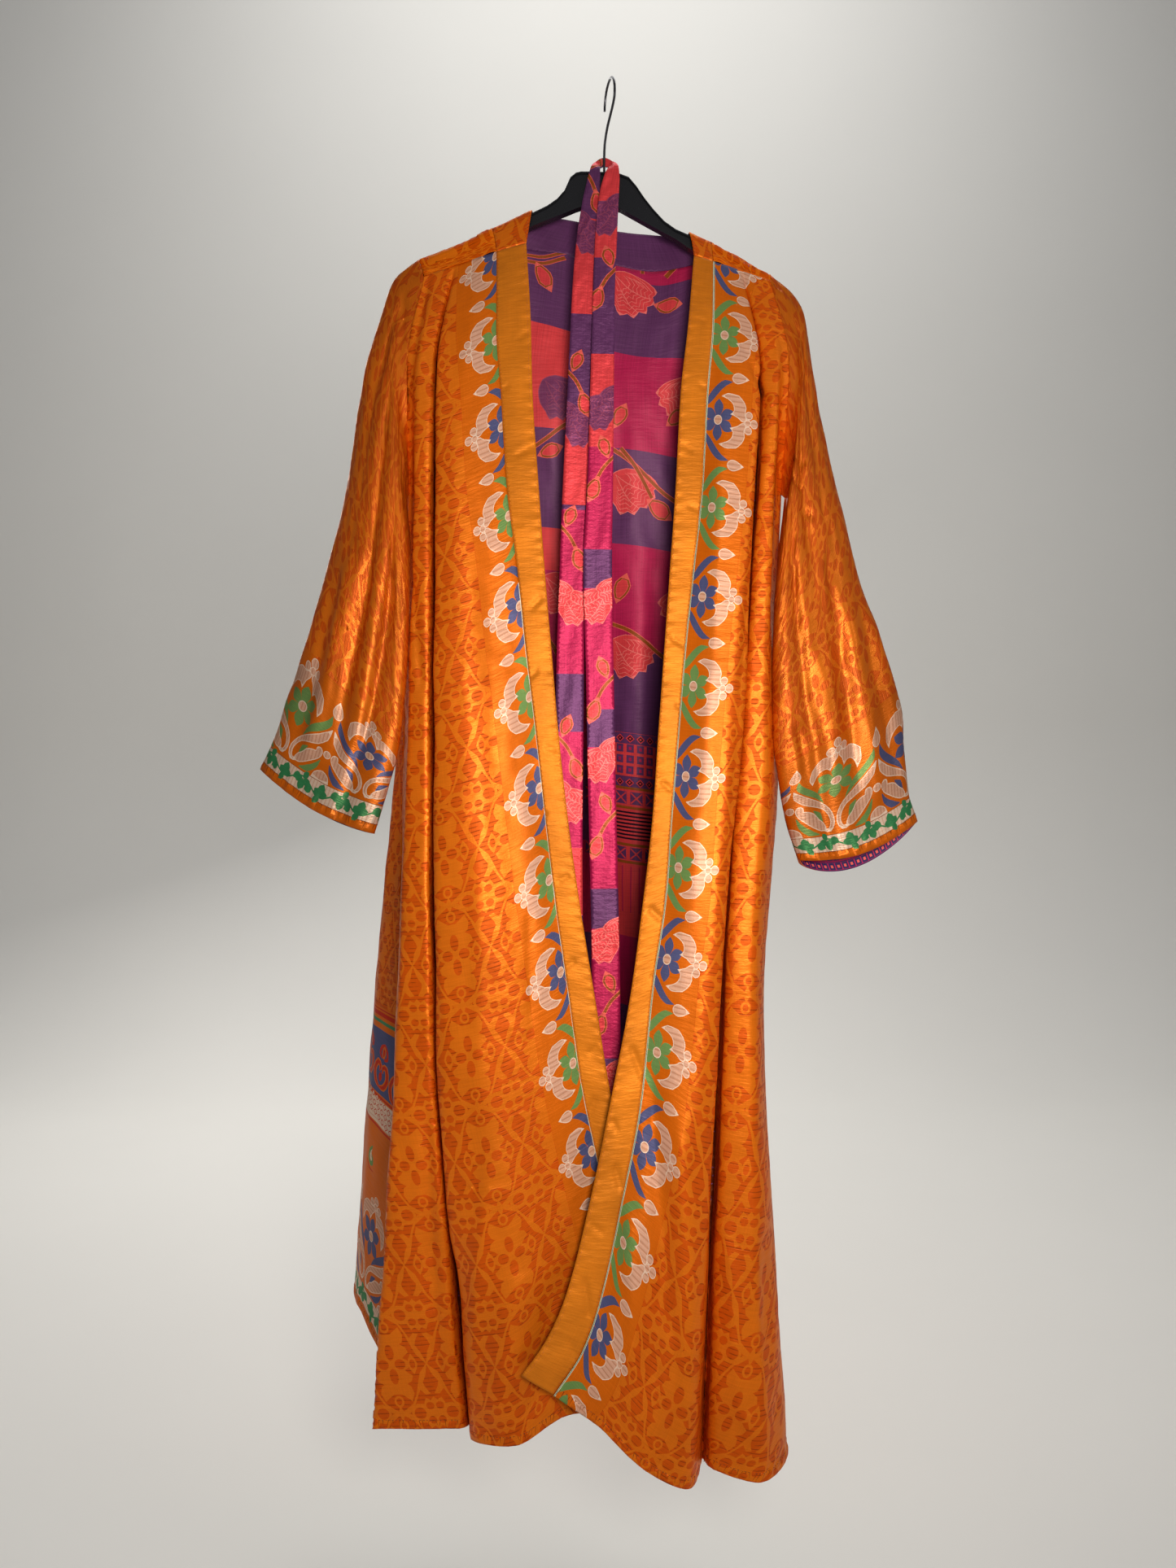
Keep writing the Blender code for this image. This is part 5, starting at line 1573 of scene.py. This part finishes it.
def blocks(facts):
    # Each block runs from its own height down to the next one's
    low, high = facts["sides"]
    near, far = facts["tilt"] * (low - facts["pivot"]), facts["tilt"] * (high - facts["pivot"])
    shapes = []
    for (kind, top), (_, bottom) in zip(facts["blocks"], facts["blocks"][1:]):
        shapes.append((kind, np.array([(low, top + near), (high, top + far),
                                       (high, bottom + far), (low, bottom + near)])))
    return shapes


def geometricEnd():
    # Rows of lozenges, squares and crosses: distances down from the top (mm)
    (x0, x1), top = lining["end"]["sides"], lining["end"]["top"]

    def tipped(points):
        return np.stack([points[:, 0], points[:, 1] + lining["end"]["tilt"] * points[:, 0]], axis=1)

    def block(kind, x, down, halfX, halfY):
        return kind, tipped(box((x - halfX, top - down - halfY), (x + halfX, top - down + halfY)))
    strips = (
        ("plum", 0, 12), ("coral", 12, 48), ("plum", 48, 62), ("brown", 60, 63), ("coral", 63, 82),
        ("brown", 82, 85), ("coral", 85, 124), ("brown", 124, 127), ("coral", 127, 144), ("brown", 144, 147),
        ("coral", 147, 205))
    shapes = [(kind, tipped(box((x0, top - end), (x1, top - begin)))) for kind, begin, end in strips]
    for x in np.arange(x0, x1, 11.0):
        for y in (6, 55):
            for kind, half in (("coral", 4.6), ("black", 3.2), ("coral", 1.4)):
                shapes.append((kind, tipped(lozenge(x, top - y, half))))
        for y in (17, 29, 41):
            shapes += [block("plum", x, y, 3.8, 4.4), block("crimson", x, y, 1.4, 1.8)]
    for x in np.arange(x0, x1, 17.0):
        for y in (72.5, 135.5):
            shapes.append(block("plum", x, y, 6.6, 7))
            for sign in (1, -1):
                cross = placed(((-6, -6), (6, 6)), x, top - y, flipY=sign)
                shapes.append(("coral", tipped(stroke(cross, (0.7, 0.7), 1))))
            shapes.append(block("coral", x, y, 1.4, 1.4))
    for y in np.arange(89, 122, 4.2):
        shapes.append(("black", tipped(box((x0 + 20, top - y - 1.0), (x1, top - y + 1.0)))))
    for x in np.arange(x0, x1, 9.0):
        shapes.append(("crimson", tipped(box((x, top - 203), (x + 1.1, top - 150)))))
    return shapes


def makeBackLining():
    layout = layOut(backSurface, lining["guides"], (napeV, lining["low"]), backMiddle)
    seen = blocks(lining["left"]) + blocks(lining["right"]) + geometricEnd()
    seen.append(("plum", np.array(lining["seam"])))
    for points, half in lining["napeStems"]:
        seen += stem(points, half)
    for x, z, length, turn in lining["napeLeaves"]:
        seen += leafLoop(x, z, length, radians(turn))
    for x, z, size, lean, kind in lining["tulips"]:
        seen += tulip(x, z, size, lean, *tulipDyes[kind])
    for points in lining["stems"]:
        seen += stem(points)
    for x, z, length, turn in lining["leaves"]:
        seen += leafLoop(x, z, length, radians(turn))
    shapes = [(kind, seenAt(layout, splitEdges(points, 8)) / mm) for kind, points in seen if len(points) > 2]

    def relief(u, w, place, at, v):
        return ripple(u, w, 0.4, 50, 21, 2.2) - backCreases(place)
    piece = cutCloth("backLining", layout, shapes, relief, True, (liningSilk,), ground="plum")
    return piece, layout


liningPiece, liningFlat = makeBackLining()

# Sleeves and cuff linings

sleeveRight = {
    "firstFlower": 30,
    "creases": (
        (4.5, -3.2, (-186, -198), (-199, -280), (-209, -330), (-217, -372)),
        (3.5, -2.0, (-213, -216), (-214, -250), (-213, -290)),
        (4, -2.2, (-188, -256), (-199, -303), (-220, -378)),
        (7, 3.0, (-205, -372), (-213, -395), (-206, -425)),
        (3, -2.0, (-214, -400), (-204, -412)),
        (9, 3.6, (-228, -450), (-246, -600), (-262, -720)),
        (7, -4.0, (-240, -480), (-268, -640), (-284, -735)),
        (8, 3.6, (-262, -480), (-292, -640), (-312, -720)),
        (7, -3.4, (-276, -500), (-308, -640), (-330, -715)),
        (10, -3.0, (-222, -520), (-230, -700)),
    ),
}
sleeveLeft = {
    "firstFlower": 96,
    "creases": (
        (4.5, -3.0, (160, -212), (172, -260), (184, -320)),
        (4, -2.2, (172, -220), (186, -280), (196, -340)),
        (4, -3.2, (186, -668), (194, -700), (200, -740)),
        (3, -2.4, (182, -420), (196, -436)),
        (3, -2.2, (190, -455), (212, -462)),
        (3, -1.8, (184, -400), (200, -408)),
        (9, 3.8, (206, -470), (222, -640), (232, -760)),
        (7, -4.2, (218, -480), (240, -640), (256, -770)),
        (8, 3.6, (236, -520), (262, -660), (280, -760)),
        (7, -3.4, (256, -540), (282, -660), (298, -740)),
    ),
}


def sleeveCreases(facts, place):
    creased = creaseRelief(facts["creases"], place[:, 0], place[:, 2])
    return np.where(place[:, 1] < 0.004, creased, creased * 0.6)


def makeSleeve(name, side, table, facts, turned):
    layout = layOut(sleeveSurface(side, table), (0.5, 1.5), (0, 1), 1.0)
    length = layout["length"] / mm
    left, right = layout["left"].min() / mm, layout["right"].max() / mm
    hemTop = length - hem["turn"]
    stripTop = hemTop - border["stripHeight"]
    shapes = damaskField((left - 5, -10), (right + 5, stripTop - border["height"]))
    # painted shadows of the hem's puckers
    shapes += puckerShadows(left, right, hemTop, length)
    for kind, points in sariBorder(left - 5, right + 5, facts["firstFlower"]):
        shapes.append((kind, np.stack([points[:, 0], stripTop - points[:, 1]], axis=1)))

    def relief(u, w, place, at, v):
        away = np.clip((w - 0.004) / 0.02, 0, 1)
        starts, stops = endsAt(layout, w)
        fromSeam = np.clip(np.minimum(u - starts, stops - u) / 0.015, 0, 1)
        waves = ripple(u, w, 0.35, 40, 31, 2.0) * away + hemRelief(u, w, layout["length"])
        return sleeveCreases(facts, place) * away + waves * fromSeam
    piece = cutCloth(name, layout, shapes, relief, turned, (sleeveSilk, liningSilk), tube=True)
    return piece, layout


def makeCuffLining(name, side, table, facts, turned):
    layout = layOut(sleeveSurface(side, table), (0.5, 1.5), (sleeveShape["liningFrom"], 1), 1.0)
    left, right, length = layout["left"].min() / mm, layout["right"].max() / mm, layout["length"] / mm
    shapes = [("crimson", box((left - 5, -5), (right + 5, length + 5)))]
    for x in np.arange(left, right, 7.5) + 4:
        for down, first in ((4.5, "navy"), (13.0, "plum"), (21.5, "navy")):
            for kind, half in ((first, 3.2), ("pinkEdge", 1.3)):
                low, high = length - down - half, length - down + half
                shapes.append((kind, box((x - half, low), (x + half, high))))
    for down in (0.4, 8.2, 16.7, 25.2):
        shapes.append(("navy", box((left - 5, length - down - 0.6), (right + 5, length - down + 0.3))))

    def relief(u, w, place, at, v):
        return -sleeveCreases(facts, place)
    piece = cutCloth(name, layout, shapes, relief, not turned, (liningSilk,), tube=True)
    return piece, layout


sleeveRightPiece, sleeveRightFlat = makeSleeve("sleeveRight", "right", rightSleeve, sleeveRight, True)
sleeveLeftPiece, sleeveLeftFlat = makeSleeve("sleeveLeft", "left", leftSleeve, sleeveLeft, False)
cuffRightPiece, cuffRightFlat = makeCuffLining("cuffLiningRight", "right", rightSleeve, sleeveRight, True)
cuffLeftPiece, cuffLeftFlat = makeCuffLining("cuffLiningLeft", "left", leftSleeve, sleeveLeft, False)

# Belt: heights on each tail of its blocks, tulips and leaves (mm)
belt = {
    "right": {
        "blocks": (("plum", -80), ("coral", -147), ("plum", -247), ("coral", -345), ("plum", -445),
                   ("crimson", -450), ("plum", -620), ("crimson", -680), ("coral", -800), ("plum", -870),
                   ("crimson", -930), ("coral", -1040), ("coral", -1200)),
        "tulips": (("plum", -150), ("plum", -350), ("coral", -535), ("coral", -740), ("plum", -960)),
        "leaves": (-112, -322, -483, -700, -910),
    },
    "left": {
        "blocks": (("coral", -80), ("plum", -190), ("coral", -290), ("crimson", -386), ("plum", -492),
                   ("crimson", -532), ("plum", -657), ("crimson", -696), ("plum", -842), ("crimson", -883),
                   ("plum", -1017), ("coral", -1090), ("crimson", -1200)),
        "tulips": (("plum", -132), ("plum", -334), ("coral", -534), ("coral", -698), ("coral", -884),
                   ("coral", -1030)),
        "leaves": (-215, -412, -640, -780, -965),
    },
}


def makeBelt():
    layout = layOut(beltSurface, (0, 1), (0, 1), 0.5, columns=41, rows=401)
    spine = layout["grid"][:, 20]
    peak = int(np.argmax(spine[:, 2]))
    half = layout["widest"] / mm / 2 + 1
    twig = stem(((-16, 18), (-4, 6), (4, -8), (14, -26)), 1.4)
    twig += leafLoop(-8, 14, 26, radians(70)) + leafLoop(2, -4, 30, radians(-70))
    tails = {"right": np.arange(0, peak + 1), "left": np.arange(len(spine) - 1, peak - 1, -1)}

    def down(tail, z):
        rows = tails[tail]
        return float(np.interp(z * mm, spine[rows, 2], layout["down"][rows])) / mm

    def upright(tail, z, motif):
        sign = -1 if tail == "right" else 1
        return [(kind, np.stack([points[:, 0], down(tail, z) - sign * points[:, 1]], axis=1))
                for kind, points in motif]
    shapes = []
    for tail, facts in belt.items():
        for (kind, top), (_, bottom) in zip(facts["blocks"], facts["blocks"][1:]):
            ends = sorted((down(tail, top), down(tail, bottom)))
            shapes.append((kind, box((-half, ends[0]), (half, ends[1]))))
        for kind, z in facts["tulips"]:
            pair = tulip(-9, 0, 0.78, 1, *tulipDyes[kind]) + tulip(-30, 12, 0.7, 1, *tulipDyes[kind])
            shapes += upright(tail, z, pair)
        for z in facts["leaves"]:
            shapes += upright(tail, z, twig)

    def relief(u, w, place, at, v):
        upper = np.clip((place[:, 2] + 0.4) / 0.25, 0, 1)
        return ripple(u, w, 0.35, 40, 41, 2.5) + upper * ripple(u, w, 0.35, 14, 42, 2.0)
    piece = cutCloth("beltCloth", layout, shapes, relief, False, (beltSilk,), ground="plum", spacing=2.6,
                     sides=(beltWall / 2, -beltWall / 2))
    return piece, layout


beltPiece, beltFlat = makeBelt()

# Stitches: threads along lines that lie on the cloth (mm)
stitch = {"pitch": 3.6, "length": 2.4, "radius": 0.26, "seed": 4, "fromEdge": 2.8, "fromSeam": 1.6}


def lineOn(piece, layout, turned, tube, points):
    # A line of the cutting rectangle, brought onto the outer side of the finished cloth
    mesh, reach = piece.data, 0.008
    tree = BVHTree.FromPolygons([v.co for v in mesh.vertices], [tuple(p.vertices) for p in mesh.polygons])
    _, _, place, normal = sideOf(layout, points, tube)
    line = []
    for p, n in zip(place, normal if not turned else -normal):
        hit = tree.ray_cast(Vector(p + n * reach), Vector(-n), 2 * reach)[0]
        if hit is not None:
            line.append(hit + Vector(n) * 0.1 * mm)
    return line


def stitchTree(material):
    tree = bpy.data.node_groups.new("stitches", "GeometryNodeTree")
    tree.interface.new_socket("Lines", in_out="INPUT", socket_type="NodeSocketGeometry")
    for name in ("Pitch", "Length", "Radius"):
        tree.interface.new_socket(name, in_out="INPUT", socket_type="NodeSocketFloat")
    tree.interface.new_socket("Seed", in_out="INPUT", socket_type="NodeSocketInt")
    tree.interface.new_socket("Stitches", in_out="OUTPUT", socket_type="NodeSocketGeometry")
    given, made = tree.nodes.new("NodeGroupInput").outputs, tree.nodes.new("NodeGroupOutput")
    curve = addNode(tree, "GeometryNodeMeshToCurve", {0: given["Lines"]}).outputs[0]
    spaced = addNode(tree, "GeometryNodeResampleCurve", {"Curve": curve, "Length": given["Pitch"]},
                     mode="LENGTH")
    tangent = addNode(tree, "GeometryNodeInputTangent").outputs[0]
    turn = addNode(tree, "FunctionNodeAlignRotationToVector", {"Vector": tangent}, axis="Z").outputs[0]
    ball = {"Segments": 5, "Rings": 3, "Radius": given["Radius"]}
    thread = addNode(tree, "GeometryNodeMeshUVSphere", ball)
    longer = calculate(tree, "DIVIDE", given["Length"], calculate(tree, "MULTIPLY", given["Radius"], 2.0))
    between = {2: 0.8, 3: 1.12, "Seed": given["Seed"]}
    uneven = addNode(tree, "FunctionNodeRandomValue", between, data_type="FLOAT")
    size = addNode(tree, "ShaderNodeCombineXYZ", {
        0: 1.0, 1: 1.0, 2: calculate(tree, "MULTIPLY", longer, uneven.outputs[1])}).outputs[0]
    stitches = addNode(tree, "GeometryNodeInstanceOnPoints", {
        "Points": spaced.outputs[0], "Instance": thread.outputs[0], "Rotation": turn, "Scale": size})
    real = addNode(tree, "GeometryNodeRealizeInstances", {0: stitches.outputs[0]})
    painted = addNode(tree, "GeometryNodeSetMaterial", {0: real.outputs[0], "Material": material})
    tree.links.new(painted.outputs[0], made.inputs[0])
    return tree


def makeStitches(name, lines, material):
    points, edges = [], []
    for line in lines:
        edges += [(len(points) + i, len(points) + i + 1) for i in range(len(line) - 1)]
        points += line
    mesh = bpy.data.meshes.new(name + "Lines")
    mesh.from_pydata(points, edges, [])
    carrier = bpy.data.objects.new(name + "Lines", mesh)
    bpy.context.scene.collection.objects.link(carrier)
    tree = stitchTree(material)
    modifier = carrier.modifiers.new("stitches", "NODES")
    modifier.node_group = tree
    values = {"Pitch": stitch["pitch"] * mm, "Length": stitch["length"] * mm, "Radius": stitch["radius"] * mm,
              "Seed": stitch["seed"]}
    for item in tree.interface.items_tree:
        if item.name in values:
            modifier[item.identifier] = values[item.name]
    evaluated = carrier.evaluated_get(bpy.context.evaluated_depsgraph_get())
    plain = bpy.data.meshes.new_from_object(evaluated)
    plain.name = name
    carrier.modifiers.clear()
    bpy.data.objects.remove(carrier)
    plain.shade_smooth()
    piece = bpy.data.objects.new(name, plain)
    bpy.context.scene.collection.objects.link(piece)
    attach(piece, "root")
    print(name, len(plain.polygons), "faces")


def sewn(piece, layout, turned, lines, tube=False):
    # Lines as across and down of both ends on the cutting rectangle; a negative one counts from the far side
    made = []
    size = np.array([layout["width"], layout["length"]])
    for ends in lines:
        ends = np.array(ends) * mm
        first, last = np.where(np.signbit(ends), size + ends, ends)
        share = np.linspace(0, 1, max(2, int(np.linalg.norm(last - first) / (2.5 * mm))))[:, None]
        made.append(lineOn(piece, layout, turned, tube, first + (last - first) * share))
    return [line for line in made if len(line) > 1]


far, near = -stitch["fromSeam"], stitch["fromEdge"]
bandLines = []
for piece, layout, turned in ((bandRightPiece, bandRightFlat, False), (bandLeftPiece, bandLeftFlat, True),
                              (neckPiece, neckFlat, True)):
    bandLines += sewn(piece, layout, turned, (((near, 2.0), (near, -2.0)), ((far, 2.0), (far, -2.0))))
makeStitches("bandStitches", bandLines, threadOrange)
hemLines = []
for piece, layout, turned, tube in (
        (frontRightPiece, frontRightFlat, False, False), (frontLeftPiece, frontLeftFlat, True, False),
        (backPiece, backFlat, False, False), (sleeveRightPiece, sleeveRightFlat, True, True),
        (sleeveLeftPiece, sleeveLeftFlat, False, True)):
    hemLines += sewn(piece, layout, turned, (((1.5, -hem["turn"]), (-1.5, -hem["turn"])),), tube)
makeStitches("hemStitches", hemLines, threadBrown)

# Hanger

for node, material in (("hanger_body", blackPlastic), ("hanger_hook", steelWire)):
    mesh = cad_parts[node].data
    mesh.materials.clear()
    mesh.materials.append(material)

# What stands for what

flatSizes = {}


def declare(piece, node, layout):
    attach(piece, "root")
    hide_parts(node)
    width, length = layout["widest"], layout["length"]
    flatArea = min(layout["area"], width * length)
    flatSizes[piece.name] = (round(width, 3), round(length, 3), round(flatArea, 4))


declare(backPiece, "back", backFlat)
declare(liningPiece, "back_lining", liningFlat)
declare(frontRightPiece, "front_right", frontRightFlat)
declare(frontLeftPiece, "front_left", frontLeftFlat)
declare(bandRightPiece, "band_right", bandRightFlat)
declare(bandLeftPiece, "band_left", bandLeftFlat)
declare(neckPiece, "neck_band", neckFlat)
declare(sleeveRightPiece, "sleeve_right", sleeveRightFlat)
declare(sleeveLeftPiece, "sleeve_left", sleeveLeftFlat)
declare(cuffRightPiece, "cuff_lining_right", cuffRightFlat)
declare(cuffLeftPiece, "cuff_lining_left", cuffLeftFlat)
declare(beltPiece, "belt", beltFlat)
for name, sizes in flatSizes.items():
    print("flat", name, *sizes)
